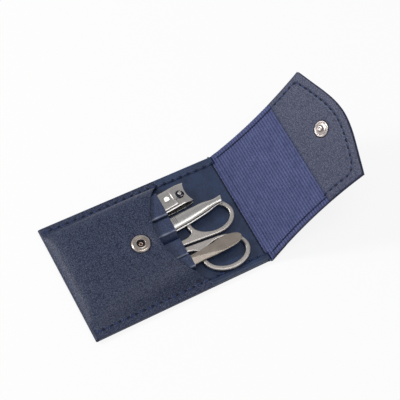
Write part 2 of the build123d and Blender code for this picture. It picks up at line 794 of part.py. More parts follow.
flap_seam = flap_outline(0, flap_end, flap_stitch_inset, seam_rounding).face().outer_wire()
flap_seam_count = int(flap_seam.length / flap_stitch_pitch)
flap_places = []
for i in range(flap_seam_count):
    share = i / flap_seam_count
    point, heading = flap_seam.position_at(share), flap_seam.tangent_at(share)
    if point.Y > flap_start + stitch_length:
        turn = Vector(0, 1, 0).get_signed_angle(heading, Vector(0, 0, 1))
        flap_places.append(flap_plane.location * Location((point.X, point.Y, 0), (0, 0, turn)))
with BuildPart() as flap_seam_threads:
    with Locations(*flap_places):
        Box(stitch_width, stitch_length * 0.85, stitch_height,
            align=(Align.CENTER, Align.CENTER, Align.MIN))
save(flap_seam_threads, "flap_seam_threads")

with BuildPart() as holder_seam_threads:
    walls = [-holder_half_width]
    for left, right, top in loops:
        walls += [left, right]
    walls += [holder_half_width]
    columns = [(walls[i] + walls[i + 1]) / 2 for i in range(0, len(walls), 2)]
    row_count = floor((holder_front - holder_back - holder_stitch_length) / holder_stitch_pitch) + 1
    rows = [end_y + holder_back + holder_stitch_length + holder_stitch_pitch * i
            for i in range(row_count)]
    with Locations(*[(x, y, floor_z + holder_leather) for x in columns for y in rows]):
        Box(holder_thread, holder_stitch_length, stitch_height,
            align=(Align.CENTER, Align.CENTER, Align.MIN))
save(holder_seam_threads, "holder_seam_threads")
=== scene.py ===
import math

import bmesh
import bpy
import numpy as np
from mathutils import Matrix, Vector, noise


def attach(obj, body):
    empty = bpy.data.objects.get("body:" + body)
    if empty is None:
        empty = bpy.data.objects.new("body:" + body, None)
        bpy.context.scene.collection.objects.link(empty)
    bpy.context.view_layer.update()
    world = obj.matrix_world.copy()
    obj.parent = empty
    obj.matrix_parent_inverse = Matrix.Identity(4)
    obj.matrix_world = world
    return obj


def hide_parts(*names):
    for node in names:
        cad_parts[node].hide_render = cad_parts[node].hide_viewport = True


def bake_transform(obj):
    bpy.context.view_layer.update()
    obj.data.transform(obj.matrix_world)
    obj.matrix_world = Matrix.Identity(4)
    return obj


# A navy manicure wallet lying open with four steel tools in its loops.
# Sizes are millimetres in the part's own frame: X across, Y towards the flap, Z up.
# "Stations" are measured from the wallet's closed end, and on the flap from the fold.

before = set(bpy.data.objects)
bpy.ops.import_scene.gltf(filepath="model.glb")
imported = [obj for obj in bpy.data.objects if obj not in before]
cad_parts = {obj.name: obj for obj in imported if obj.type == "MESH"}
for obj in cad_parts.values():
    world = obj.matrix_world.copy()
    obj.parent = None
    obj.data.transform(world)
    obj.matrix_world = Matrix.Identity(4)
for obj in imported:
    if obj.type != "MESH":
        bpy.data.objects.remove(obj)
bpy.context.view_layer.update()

MM = 0.001

# ---- Wallet sizes ----
LENGTH, END_WIDTH, FOLD_WIDTH = 106.0, 74.4, 72.0
END_Y, FOLD_Y = -LENGTH / 2, LENGTH / 2
LEATHER, BOARD, LINING = 0.8, 0.7, 0.5
FLOOR_Z = LEATHER + BOARD + LINING  # the lining panel's face, which the tools lie on
STACK = FLOOR_Z  # the flap has the same layers as the wallet's back
BORDER = 4.6  # flat margin at each side of the arched front
MOUTH_MIDDLE, MOUTH_ENDS = 55.4, 70.2
# heights of the front's crest, which the tools under it lift, at stations
CROWN_STATIONS = (0.0, 1.0, 2.0, 3.0, 4.0, 5.5, 7.5, 10.0, 14.0, 30.0, 46.0, 56.0, 65.0, 74.0)
CROWN_HEIGHTS = (3.2, 3.8, 4.4, 4.9, 5.3, 5.75, 6.2, 6.65, 7.25, 8.9, 10.3, 11.1, 11.2, 10.9)
# Bezier controls of the arch over one side: share of the half width, share of the height
ARCH_LEFT = ((-1.0, 0.0), (-0.96, 0.5), (-0.94, 1.0), (-0.83, 1.04), (-0.5, 1.0), (0.0, 1.0))
ARCH_RIGHT = ((0.0, 1.0), (0.45, 1.0), (0.8, 1.0), (0.88, 0.3), (1.0, 0.0))

# ---- Flap sizes ----
RAISED = math.radians(44.0)
SPINE = 7.8
REACH = STACK * RAISED  # length of the outer leather's bend round the first fold
BEND = 3.2  # the ribbed cloth bends freely this far beyond the second fold
FLAP_FOLD_WIDTH, FLAP_WAIST_WIDTH, FLAP_CORNER_WIDTH = 73.0, 68.6, 72.4
FLAP_WAIST, FLAP_CORNER, FLAP_TIP, RIBBED_END = 45.0, 72.9, 82.8, 47.9
TIP_TRIM = 1.5  # the rounded end is cut straighter beside its corners

# ---- Snap places ----
SNAP_STATION, STUD_STATION = 46.0, SPINE + (LENGTH - 46.0) / math.cos(math.radians(2.0))
SEAT_Z = 9.95
# the socket and the stud were set a little off the middle line
SOCKET_X, SOCKET_STATION = -0.6, SNAP_STATION - 0.65
STUD_X, STUD_PLACE = -0.4, STUD_STATION - 0.95

# ---- Seams ----
SIDE_SEAM_INSET, SIDE_SEAM_START, SIDE_SEAM_END = 4.0, 4.0, 104.5
SEAM_DRIFT, DRIFT_START, DRIFT_LENGTH = 1.0, 76.0, 12.0
FLAP_SEAM_INSET, FLAP_SEAM_LEFT, FLAP_SEAM_FOOT, CLOTH_SEAM_INSET = 4.6, 3.1, SPINE + 1.0, 3.0
SIDE_PITCH, FLAP_PITCH, CLOTH_PITCH, FOLD_PITCH, HOLDER_PITCH = 4.8, 4.1, 2.0, 2.4, 3.0
# length, width and height of a stitch's thread, or of an awl's hole
SIDE_STITCH, SIDE_HOLE = (4.3, 0.8, 0.5), (2.2, 1.4, 0.42)
FACING_STITCH, FACING_HOLE = (3.8, 0.8, 0.5), (2.5, 1.5, 0.5)
CLOTH_STITCH, FOLD_STITCH, HOLDER_STITCH = (3.2, 0.9, 0.6), (3.4, 1.3, 0.5), (2.4, 0.32, 0.3)


# =====================================================================
# Frames and meshes
# =====================================================================

def tool_frame(x, y, z, skew, pitch=0.0):
    """4x4 matrix of a tool's own frame: X across it, Y towards the flap, Z up.

    It turns to the side by its skew and rises along Y by its pitch, both in degrees.
    """
    s, p = math.radians(skew), math.radians(pitch)
    across = np.array([math.cos(s), math.sin(s), 0.0])
    up = np.array([math.sin(s) * math.sin(p), -math.cos(s) * math.sin(p), math.cos(p)])
    matrix = np.eye(4)
    matrix[:3, 0], matrix[:3, 1], matrix[:3, 2] = across, np.cross(up, across), up
    matrix[:3, 3] = (x, y, z)
    return matrix


def placed(points, matrix):
    """Points in a frame, as points of the part."""
    return np.asarray(points, float) @ matrix[:3, :3].T + matrix[:3, 3]


FLAT = np.eye(4)
FLAP = np.eye(4)
FLAP[:3, 1] = (0.0, math.cos(RAISED), math.sin(RAISED))
FLAP[:3, 2] = (0.0, -math.sin(RAISED), math.cos(RAISED))
FLAP[:3, 3] = (0.0, FOLD_Y, FLOOR_Z)


def linked(name, mesh, *materials):
    """A mesh in metres as a smooth object of the scene."""
    thing = bpy.data.objects.new(name, mesh)
    bpy.context.scene.collection.objects.link(thing)
    for material in materials:
        mesh.materials.append(material)
    mesh.shade_smooth()
    return thing


def piece(name, points, faces, *materials):
    """A piece from points in millimetres and faces."""
    mesh = bpy.data.meshes.new(name)
    mesh.from_pydata((np.asarray(points, float) * MM).tolist(), [], faces)
    mesh.update()
    return linked(name, mesh, *materials)


def from_bmesh(name, bm, *materials, matrix=FLAT):
    """A closed piece from a bmesh in millimetres of a frame."""
    for v in bm.verts:
        v.co = Vector(placed([v.co], matrix)[0]) * MM
    bmesh.ops.recalc_face_normals(bm, faces=bm.faces)
    mesh = bpy.data.meshes.new(name)
    bm.to_mesh(mesh)
    bm.free()
    return linked(name, mesh, *materials)


def applied(thing):
    """The piece with its modifiers made part of its mesh."""
    graph = bpy.context.evaluated_depsgraph_get()
    made = bpy.data.meshes.new_from_object(thing.evaluated_get(graph))
    old = thing.data
    thing.modifiers.clear()
    thing.data = made
    made.name = old.name
    bpy.data.meshes.remove(old)
    return thing


def weighted(thing):
    """Normals weighted by face area, so that flat faces stay flat beside eased edges."""
    smoothing = thing.modifiers.new("weighted", "WEIGHTED_NORMAL")
    smoothing.mode, smoothing.weight = "FACE_AREA", 80
    return applied(thing)


def walled(thing, thickness):
    """The sheet with a wall below it, and the second material on its cut edge."""
    wall = thing.modifiers.new("wall", "SOLIDIFY")
    wall.thickness, wall.offset, wall.use_even_offset = thickness * MM, -1.0, True
    wall.material_offset_rim = 1
    return applied(thing)


def kept_at_points(thing, name, values):
    """A number, or a vector, kept at each point of a piece for its material or its ribs."""
    values = np.asarray(values, np.float32)
    kind, field = ("FLOAT_VECTOR", "vector") if values.ndim == 2 else ("FLOAT", "value")
    thing.data.attributes.new(name, kind, "POINT").data.foreach_set(field, values.ravel())
    return thing


def grid_faces(rows, columns, start=0):
    """Quads of a grid whose points run along its rows."""
    return [
        (start + r * columns + c, start + r * columns + c + 1,
         start + (r + 1) * columns + c + 1, start + (r + 1) * columns + c)
        for r in range(rows - 1) for c in range(columns - 1)
    ]


def on_body(thing, body, replaced=()):
    """Fixes a piece to its body, in place of nodes of the plain model."""
    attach(thing, body)
    if replaced:
        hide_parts(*replaced)
    return thing


def over_bodies(thing, replaced=()):
    """A piece over the fold between two bodies, fixed to neither, in place of nodes of the plain
    model; its place is made part of its mesh.
    """
    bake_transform(thing)
    if replaced:
        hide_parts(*replaced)
    return thing


def half_width(station):
    """Half width of the tapered wallet at a station."""
    return END_WIDTH / 2 - (END_WIDTH - FOLD_WIDTH) / 2 / LENGTH * station


def soft_noise(points, size, seed):
    """Smooth seeded noise from -1 to 1 with features of a size in millimetres."""
    return np.array([noise.noise(Vector(p) / size + Vector((seed, 7.3 * seed, 0.7)))
                     for p in points])


# =====================================================================
# Materials
# =====================================================================

def colour(hex_code):
    """Linear colour of an sRGB hex value."""
    values = [int(hex_code[i:i + 2], 16) / 255 for i in (1, 3, 5)]
    return [v / 12.92 if v <= 0.04045 else ((v + 0.055) / 1.055) ** 2.4 for v in values] + [1.0]


def node(tree, kind, inputs=None, **settings):
    """Add a node with its settings, and link or set its inputs."""
    made = tree.nodes.new(kind)
    for key, value in settings.items():
        setattr(made, key, value)
    for key, value in (inputs or {}).items():
        if isinstance(value, bpy.types.NodeSocket):
            tree.links.new(value, made.inputs[key])
        else:
            made.inputs[key].default_value = value
    return made


def new_finish(name):
    """An empty material, its node tree, and Object coordinates in millimetres."""
    material = bpy.data.materials.new(name)
    material.use_nodes = True
    tree = material.node_tree
    tree.nodes.clear()
    place = node(tree, "ShaderNodeTexCoord")
    scaled = node(tree, "ShaderNodeVectorMath",
                  {0: place.outputs["Object"], "Scale": 1 / MM}, operation="SCALE")
    return material, tree, scaled.outputs["Vector"]


def grained_leather(name, deep, face, painted_glint, pebble_mm, relief, shine, crease_highlight_colour=None):
    """Polyurethane-coated leather, embossed hot: pebbles with shinier tops.

    It gives a fine speckle of light points on navy, and a soft sheen where it curves.
    Its valleys are painted darker, as shade, and its tops paler, partly the grain's own
    tone and partly a painted glint.
    The real pebbles are about 0.5 mm wide. They are drawn a little coarser, so that
    they still show from a metre away. Where it is creased, a painted highlight may be laid on.
    """
    material, tree, where = new_finish(name)
    pebble = node(tree, "ShaderNodeTexVoronoi", {"Vector": where, "Scale": 1 / pebble_mm})
    speck = node(tree, "ShaderNodeTexNoise", {"Vector": where, "Scale": 1 / 0.45,
                                              "Detail": 2.0, "Roughness": 0.75})
    cloud = node(tree, "ShaderNodeTexNoise", {"Vector": where, "Scale": 1 / 22.0, "Detail": 1.0})
    top = node(tree, "ShaderNodeMapRange", {0: pebble.outputs["Distance"], 1: 0.8, 2: 0.12})
    bright = node(tree, "ShaderNodeMapRange", {0: speck.outputs[0], 1: 0.38, 2: 0.66})
    # the pebbles' tops take a painted glint, partly grain, and their valleys painted shade
    painted_glint_share = node(tree, "ShaderNodeMath", {0: top.outputs[0], 1: bright.outputs[0]},
                 operation="MULTIPLY")
    soft = node(tree, "ShaderNodeMapRange", {0: cloud.outputs[0], 1: 0.3, 2: 0.7, 4: 0.35})
    ground = node(tree, "ShaderNodeMix", {0: soft.outputs[0], 6: colour(face), 7: colour(deep)},
                  data_type="RGBA")
    painted_valley_shade = node(tree, "ShaderNodeMix", {0: top.outputs[0], 6: colour(deep),
                                           7: ground.outputs[2]}, data_type="RGBA")
    tops = node(tree, "ShaderNodeMix", {0: painted_glint_share.outputs[0], 6: painted_valley_shade.outputs[2],
                                        7: colour(painted_glint)}, data_type="RGBA")
    rough = node(tree, "ShaderNodeMapRange", {0: painted_glint_share.outputs[0], 3: 0.46, 4: 0.3})
    fine = node(tree, "ShaderNodeBump", {"Height": speck.outputs[0], "Strength": relief * 0.7,
                                         "Distance": 0.12 * MM})
    pebbled = node(tree, "ShaderNodeBump", {"Height": top.outputs[0], "Strength": relief,
                                            "Distance": 0.16 * MM, "Normal": fine.outputs[0]})
    # a painted highlight, laid where the crease attribute is set
    if crease_highlight_colour:
        crease_and_highlight = node(tree, "ShaderNodeAttribute", attribute_name="crease_and_highlight")
        tops = node(tree, "ShaderNodeMix", {0: crease_and_highlight.outputs["Fac"], 6: tops.outputs[2],
                                            7: colour(crease_highlight_colour)}, data_type="RGBA")
    shader = node(tree, "ShaderNodeBsdfPrincipled", {
        "Base Color": tops.outputs[2], "Roughness": rough.outputs[0], "IOR": 1.5,
        "Specular IOR Level": shine, "Normal": pebbled.outputs[0]})
    node(tree, "ShaderNodeOutputMaterial", {"Surface": shader.outputs["BSDF"]})
    return material


def smooth_lining(name, deep, face):
    """Lining of coated cloth, calendered: nearly plain, with faint clouds and no pebbles."""
    material, tree, where = new_finish(name)
    speck = node(tree, "ShaderNodeTexNoise", {"Vector": where, "Scale": 1 / 0.9,
                                              "Detail": 3.0, "Roughness": 0.65})
    cloud = node(tree, "ShaderNodeTexNoise", {"Vector": where, "Scale": 1 / 8.0, "Detail": 3.0})
    points = node(tree, "ShaderNodeMapRange", {0: speck.outputs[0], 1: 0.3, 2: 0.7, 4: 0.5})
    clouds = node(tree, "ShaderNodeMapRange", {0: cloud.outputs[0], 1: 0.3, 2: 0.7, 4: 0.5})
    both = node(tree, "ShaderNodeMath", {0: points.outputs[0], 1: clouds.outputs[0]})
    base = node(tree, "ShaderNodeMix", {0: both.outputs[0], 6: colour(deep), 7: colour(face)},
                data_type="RGBA")
    bump = node(tree, "ShaderNodeBump", {"Height": speck.outputs[0], "Strength": 0.55,
                                         "Distance": 0.15 * MM})
    shader = node(tree, "ShaderNodeBsdfPrincipled", {
        "Base Color": base.outputs[2], "Roughness": 0.48, "IOR": 1.5,
        "Specular IOR Level": 0.45, "Normal": bump.outputs[0]})
    node(tree, "ShaderNodeOutputMaterial", {"Surface": shader.outputs["BSDF"]})
    return material


def ribbed_cloth(name, deep, face):
    """Grosgrain, woven: fine warp threads lie side by side over thick weft cords.

    It gives paler bars with their furrows painted darker, as shade, and a faint bloom at a low
    angle. Warp threads 0.2 mm wide are drawn 0.5 mm wide, so that they show.
    """
    material, tree, where = new_finish(name)
    rib = node(tree, "ShaderNodeAttribute", attribute_name="rib_height")
    across = node(tree, "ShaderNodeVectorMath", {0: where, 1: (1.0, 0.3, 0.3)},
                  operation="MULTIPLY")
    warp = node(tree, "ShaderNodeTexNoise", {"Vector": across.outputs[0], "Scale": 1 / 0.5,
                                             "Detail": 2.0, "Roughness": 0.7})
    cloud = node(tree, "ShaderNodeTexNoise", {"Vector": where, "Scale": 1 / 6.0, "Detail": 2.0})
    # the furrows between the ribs are painted darker than their tops: painted shade
    high = node(tree, "ShaderNodeMapRange", {0: rib.outputs["Fac"], 1: 0.15, 2: 1.0, 4: 0.5})
    thread = node(tree, "ShaderNodeMapRange", {0: warp.outputs[0], 1: 0.3, 2: 0.7, 4: 0.5})
    share = node(tree, "ShaderNodeMath", {0: high.outputs[0], 1: thread.outputs[0]})
    base = node(tree, "ShaderNodeMix", {0: share.outputs[0], 6: colour(deep), 7: colour(face)},
                data_type="RGBA")
    worn = node(tree, "ShaderNodeMapRange", {0: cloud.outputs[0], 1: 0.3, 2: 0.7, 4: 0.3})
    shade = node(tree, "ShaderNodeMix", {0: worn.outputs[0], 6: base.outputs[2],
                                         7: colour(deep)}, data_type="RGBA")
    bump = node(tree, "ShaderNodeBump", {"Height": warp.outputs[0], "Strength": 0.5,
                                         "Distance": 0.1 * MM})
    shader = node(tree, "ShaderNodeBsdfPrincipled", {
        "Base Color": shade.outputs[2], "Roughness": 0.85, "Specular IOR Level": 0.2,
        "Sheen Weight": 0.12, "Sheen Roughness": 0.5, "Sheen Tint": colour("#8C93B8"),
        "Normal": bump.outputs[0]})
    node(tree, "ShaderNodeOutputMaterial", {"Surface": shader.outputs["BSDF"]})
    return material


def twisted_thread(name, deep, face):
    """Waxed polyester thread, twisted from plies: slanting light and dark with a dull shine."""
    material, tree, where = new_finish(name)
    ply = node(tree, "ShaderNodeTexWave", {"Vector": where, "Scale": 0.5, "Distortion": 1.0},
               bands_direction="DIAGONAL")
    base = node(tree, "ShaderNodeMix", {0: ply.outputs["Fac"], 6: colour(deep), 7: colour(face)},
                data_type="RGBA")
    bump = node(tree, "ShaderNodeBump", {"Height": ply.outputs["Fac"], "Strength": 0.4,
                                         "Distance": 0.06 * MM})
    shader = node(tree, "ShaderNodeBsdfPrincipled", {
        "Base Color": base.outputs[2], "Roughness": 0.5, "Specular IOR Level": 0.35,
        "Normal": bump.outputs[0]})
    node(tree, "ShaderNodeOutputMaterial", {"Surface": shader.outputs["BSDF"]})
    return material


def painted_edge(name, shade, streak):
    """Edge of cut leather, sealed with edge paint: darker and bluer, streaked along the cut."""
    material, tree, where = new_finish(name)
    along = node(tree, "ShaderNodeVectorMath", {0: where, 1: (0.3, 0.3, 1.6)},
                 operation="MULTIPLY")
    streaks = node(tree, "ShaderNodeTexNoise", {"Vector": along.outputs[0], "Scale": 1 / 0.5,
                                                "Detail": 2.0})
    share = node(tree, "ShaderNodeMapRange", {0: streaks.outputs[0], 1: 0.35, 2: 0.65})
    base = node(tree, "ShaderNodeMix", {0: share.outputs[0], 6: colour(shade),
                                        7: colour(streak)}, data_type="RGBA")
    bump = node(tree, "ShaderNodeBump", {"Height": streaks.outputs[0], "Strength": 0.3,
                                         "Distance": 0.05 * MM})
    shader = node(tree, "ShaderNodeBsdfPrincipled", {
        "Base Color": base.outputs[2], "Roughness": 0.65, "Specular IOR Level": 0.25,
        "Normal": bump.outputs[0]})
    node(tree, "ShaderNodeOutputMaterial", {"Surface": shader.outputs["BSDF"]})
    return material


def brushed_steel(name, face, deep, rough, relief, grain_mm=0.6, grain=(1.0, 1.0, 1.0)):
    """Stainless steel, ground: fine scratches run along the grain's short factor.

    It gives a grey that shifts in soft patches, and highlights drawn out across the
    scratches. Scratches of 0.05 mm are drawn ten times as coarse, so that they show.
    """
    material, tree, where = new_finish(name)
    own = node(tree, "ShaderNodeAttribute", attribute_name="grain_place")
    drawn = node(tree, "ShaderNodeVectorMath", {0: own.outputs["Vector"], 1: grain},
                 operation="MULTIPLY")
    lines = node(tree, "ShaderNodeTexNoise", {"Vector": drawn.outputs[0], "Scale": 1 / grain_mm,
                                              "Detail": 3.0, "Roughness": 0.65})
    cloud = node(tree, "ShaderNodeTexNoise", {"Vector": where, "Scale": 1 / 7.0, "Detail": 2.0})
    fine = node(tree, "ShaderNodeMapRange", {0: lines.outputs[0], 1: 0.3, 2: 0.7, 4: 0.65})
    patch = node(tree, "ShaderNodeMapRange", {0: cloud.outputs[0], 1: 0.3, 2: 0.7, 4: 0.35})
    tone = node(tree, "ShaderNodeMath", {0: fine.outputs[0], 1: patch.outputs[0]})
    base = node(tree, "ShaderNodeMix", {0: tone.outputs[0], 6: colour(deep), 7: colour(face)},
                data_type="RGBA")
    matt = node(tree, "ShaderNodeMapRange", {0: lines.outputs[0], 1: 0.3, 2: 0.7,
                                             3: rough - 0.04, 4: rough + 0.06})
    bump = node(tree, "ShaderNodeBump", {"Height": lines.outputs[0], "Strength": relief,
                                         "Distance": 0.04 * MM})
    shader = node(tree, "ShaderNodeBsdfPrincipled", {
        "Base Color": base.outputs[2], "Metallic": 1.0, "Roughness": matt.outputs[0],
        "Normal": bump.outputs[0]})
    node(tree, "ShaderNodeOutputMaterial", {"Surface": shader.outputs["BSDF"]})
    return material


# the front's leather: points of light on deep navy, painted on the pebbles' tops as a glint, partly
# grain
LEATHER_FACE = grained_leather("grained_polyurethane_leather", "#0A1631", "#192544", "#646B82",
                               pebble_mm=0.62, relief=0.45, shine=0.28)
# the flap's smooth end is the same leather, painted paler and greyer: a lit copy of it, for the
# light that it faces
FACING_PAINTED_LIGHTER = grained_leather("grained_leather_facing_painted_lighter", "#2A2F48", "#3A3F59", "#5E637B",
                              pebble_mm=0.85, relief=0.35, shine=0.25)
# the outside leather, under the wallet and behind the flap: plainer, and a little violet
BACK_FACE = grained_leather("grained_leather_outside", "#1F2540", "#30365A", "#474C6A",
                            pebble_mm=0.85, relief=0.5, shine=0.5)
# leather skived thin for the loops: bluer, shallow in its grain, with a painted highlight on its
# creases
BAND_FACE = grained_leather("skived_leather_band", "#1A2540", "#28375A", "#465478",
                            pebble_mm=0.8, relief=0.3, shine=0.5, crease_highlight_colour="#8C92A8")
LINING_FACE = smooth_lining("calendered_lining", "#091732", "#283C5E")
RIB_FACE = ribbed_cloth("woven_grosgrain", "#2C3357", "#666D98")
THREAD = twisted_thread("twisted_navy_thread", "#0C1E4A", "#1C386C")
# painted shade, almost black: in the awl's holes, and on pieces put where recesses lie in deep
# shadow
HOLE_SHADE = painted_edge("awl_hole_painted_shade", "#040A1C", "#081228")
EDGE = painted_edge("painted_leather_edge", "#0C1230", "#1A2248")
# the loops' cut edges are left unpainted, so they are paler
BAND_EDGE = painted_edge("cut_band_edge", "#2C3560", "#454E78")
# clipper: ground along its plates, with even and nearly flat greys
PLATE_STEEL = brushed_steel("ground_stainless_plate", "#B4B1AF", "#A4A19F", 0.33, 0.03,
                            0.5, (1.0, 0.25, 1.0))
# tweezers: brushed along their arms, with long thin streaks
ALONG_STEEL = brushed_steel("length_brushed_stainless", "#BCBAB8", "#A6A4A2", 0.33, 0.04,
                            0.4, (1.6, 0.03, 0.2))
# scissors: tumbled after forging, with soft and blurred highlights
FORGED_STEEL = brushed_steel("tumbled_stainless", "#BBB6B2", "#A5A09C", 0.42, 0.08)
# pusher: satin, warmer and darker than the rest
PUSHER_STEEL = brushed_steel("satin_stainless_pusher", "#999088", "#7F7770", 0.42, 0.12,
                             0.45, (1.5, 0.08, 0.5))
# sheared sides and grooves: rough, and painted dark as the shade that they take
SHADED_SIDE_STEEL = brushed_steel("sheared_steel_painted_shade", "#72706F", "#3A3938", 0.42, 0.6,
                              0.9, (2.2, 2.2, 0.2))
# the lever's dimple: a paler steel, a painted highlight that makes it the brightest spot
DIMPLE_HIGHLIGHT_STEEL = brushed_steel("dimple_painted_highlight_stainless", "#E6E2DC", "#D6D2CC", 0.3, 0.02)
# the snap's nickel: bright on the rings, dull on the spring, yellowed where the brass shows
NICKEL = brushed_steel("nickel_plated_brass", "#B4ABA4", "#8F867F", 0.27, 0.05)
STUD_NICKEL = brushed_steel("nickel_plated_stud", "#ADA4A1", "#918885", 0.29, 0.01, 4.0)
DULL_NICKEL = brushed_steel("nickel_plated_spring", "#5F5A57", "#3B3735", 0.4, 0.05)
WARM_NICKEL = brushed_steel("worn_nickel_on_brass", "#B39E92", "#8B776C", 0.34, 0.05)


# =====================================================================
# Front leather
# =====================================================================

def crest_line():
    """Stations, and the smoothed heights of the front's crest at them."""
    stations = np.arange(0.0, 76.01, 0.25)
    heights = np.interp(stations, CROWN_STATIONS, CROWN_HEIGHTS)
    padded = np.concatenate([2 * heights[0] - heights[6:0:-1], heights, np.full(6, heights[-1])])
    window = np.hanning(15)
    return stations, np.convolve(padded, window[1:-1] / window.sum(), "valid")


CREST = crest_line()


def bezier(controls, t):
    """Points of a Bezier curve."""
    points = [np.outer(np.ones_like(t), c) for c in controls]
    while len(points) > 1:
        points = [a * (1 - t)[:, None] + b * t[:, None] for a, b in zip(points, points[1:])]
    return points[0]


def mouth_station(x):
    """Station of the curved mouth at x."""
    corner = half_width(MOUTH_ENDS) - BORDER
    rise = MOUTH_ENDS - MOUTH_MIDDLE
    radius = (corner ** 2 + rise ** 2) / (2 * rise)
    return MOUTH_MIDDLE + radius - np.sqrt(radius ** 2 - np.clip(np.abs(x), 0, corner) ** 2)


ARCH = np.concatenate([bezier(ARCH_LEFT, np.linspace(0, 1, 33) ** 1.25),
                       bezier(ARCH_RIGHT, 1 - np.linspace(1, 0, 29)[1:] ** 1.15)])
MARGIN = np.linspace(0, 1, 13)[:-1] * BORDER  # columns of the flat margin, from the edge inwards
FRONT_ROWS, MARGIN_ROWS, ROLL_ROWS = 96, 44, 7
ROLL_END = math.radians(40)  # where the rolled leather stops under the closed end


def crowned_rows():
    """Outside of the front, from the closed end to the mouth: flat margins, an arch between."""
    foot = FLOOR_Z + LEATHER
    corner = half_width(MOUTH_ENDS) - BORDER
    rows = []
    for share in np.linspace(0, 1, FRONT_ROWS):
        # the arch's columns end on the curved mouth, and the margins' beside its ends
        inner = share * mouth_station(ARCH[:, 0] * corner)
        outer = np.full(len(MARGIN), share * MOUTH_ENDS)
        margin_x = half_width(outer) - MARGIN
        x = np.concatenate([-margin_x, ARCH[:, 0] * (half_width(inner) - BORDER), margin_x[::-1]])
        arch_z = foot + (np.interp(inner, *CREST) - foot) * ARCH[:, 1]
        z = np.concatenate([np.full(len(MARGIN), foot), arch_z, np.full(len(MARGIN), foot)])
        rows.append(np.stack([x, END_Y + np.concatenate([outer, inner, outer]), z], axis=1))
    return np.array(rows)


def worn_in(rows):
    """The front's rows with low swells, and pressed flat round the snap's socket."""
    flat = rows.reshape(-1, 3)
    lift = np.clip((flat[:, 2] - FLOOR_Z - LEATHER) / 4.0, 0, 1)
    flat[:, 2] += lift * (0.22 * soft_noise(flat, 17.0, 3.0) + 0.07 * soft_noise(flat, 6.0, 5.0))
    away = np.hypot(flat[:, 0] - SOCKET_X, flat[:, 1] - END_Y - SOCKET_STATION)
    dip = 1 / (1 + np.exp((away - 7.6) / 0.7))
    flat[:, 2] = flat[:, 2] * (1 - dip) + (SEAT_Z + 0.02) * dip
    # the socket's rim is sunk a little deeper
    flat[:, 2] -= 0.5 * np.exp(-((away - 5.95) / 0.4) ** 2)
    return flat.reshape(rows.shape)


def margin_to_fold(side):
    """A margin beside the open mouth: a bead along its edge, and skived thin on the inside."""
    inwards = np.append(MARGIN, BORDER)
    thinned = np.clip((inwards - BORDER + 1.8) / 1.8, 0, 1) ** 2
    bead = 0.22 * np.exp(-((inwards - 1.5) / 0.5) ** 2)
    z = FLOOR_Z + LEATHER + bead - (LEATHER - 0.1) * thinned
    rows = [np.stack([side * (half_width(station) - inwards),
                      np.full(len(z), END_Y + station), z], axis=1)
            for station in np.linspace(MOUTH_ENDS, LENGTH - 0.15, MARGIN_ROWS)]
    return np.array(rows)[:, ::-side]


def rolled_end(rows):
    """Rows that turn down round the closed end and under it, and the rows shifted to meet them."""
    first = rows[0]
    radius = first[:, 2] / (1 + math.cos(ROLL_END))
    roll = np.array([
        np.stack([first[:, 0], END_Y + radius * (1 - math.sin(angle)),
                  radius * (1 + math.cos(angle))], axis=1)
        for angle in np.linspace(math.pi, ROLL_END, ROLL_ROWS, endpoint=False)])
    shift = np.clip(1 - (rows[:, :, 1] - END_Y) / 6.0, 0, 1) ** 2
    rows[:, :, 1] += shift * radius * (1 - math.sin(ROLL_END))
    return np.concatenate([roll, rows])


def side_inset(side, station):
    """Distance of a side's seam from the edge: over the front it nears the left edge."""
    nearing = np.clip((DRIFT_START - station) / DRIFT_LENGTH, 0, 1)
    return SIDE_SEAM_INSET - SEAM_DRIFT * (side < 0) * nearing


def seam_groove(points):
    """The front's points, drawn down by the side seams, a little more at each hole."""
    depth, width = 0.3, 0.5
    station = points[:, 1] - END_Y
    from_seam = half_width(station) - np.abs(points[:, 0]) - side_inset(points[:, 0], station)
    pucker = 0.75 + 0.25 * np.cos(2 * math.pi * (station - 1.6) / SIDE_PITCH)
    points[:, 2] -= depth * np.exp(-(from_seam / width) ** 2) * pucker
    # the leather swells a little beside the seam
    points[:, 2] += 0.35 * depth * np.exp(-(from_seam / (3 * width)) ** 2)
    return points


def make_front():
    """The front leather with its margins, its rolled end and the hole for the snap's post."""
    points, faces, linings = [], [], []
    for grid, lining in ((rolled_end(worn_in(crowned_rows())), 0),
                         (margin_to_fold(-1), 2), (margin_to_fold(1), 2)):
        rows, columns = grid.shape[:2]
        faces += grid_faces(rows, columns, sum(len(p) for p in points))
        linings += [lining] * ((rows - 1) * (columns - 1))
        points.append(grid.reshape(-1, 3))
    made = piece("front_leather_cover", seam_groove(np.concatenate(points)), faces,
                 LEATHER_FACE, EDGE, LINING_FACE)
    made.data.polygons.foreach_set("material_index", linings)
    bm = bmesh.new()
    bm.from_mesh(made.data)
    bmesh.ops.remove_doubles(bm, verts=bm.verts, dist=0.02 * MM)
    socket = Vector((SOCKET_X, END_Y + SOCKET_STATION, SEAT_Z)) * MM
    punched = [f for f in bm.faces if (f.calc_center_median() - socket).length < 3.0 * MM]
    bmesh.ops.delete(bm, geom=punched, context="FACES")
    bmesh.ops.recalc_face_normals(bm, faces=bm.faces)
    if sum(f.normal.z for f in bm.faces) < 0:
        bmesh.ops.reverse_faces(bm, faces=bm.faces)
    bm.to_mesh(made.data)
    bm.free()
    # stretched over the tools, the leather is a little thinner than flat
    walled(made, LEATHER * 0.95)
    # the wall's corners must not reach below the floor
    for v in made.data.vertices:
        v.co.z = max(v.co.z, 0.0)
    return on_body(made, "pouch", ("front_leather",))


front = make_front()


# =====================================================================
# Back leather and lining panel, and how plates are made
# =====================================================================

def layer(name, outline, top, bottom, materials, matrix=FLAT):
    """A closed flat plate of leather or cloth, with rounded edges, between two heights."""
    soft = 0.22
    rings = [(inset_outline(outline, inset), z) for inset, z in (
        (soft, top), (soft * 0.3, top - soft * 0.3), (0.0, top - soft),
        (0.0, bottom + soft), (soft * 0.3, bottom + soft * 0.3), (soft, bottom))]
    return weighted(rings_to_piece(name, [rings], materials, matrix))


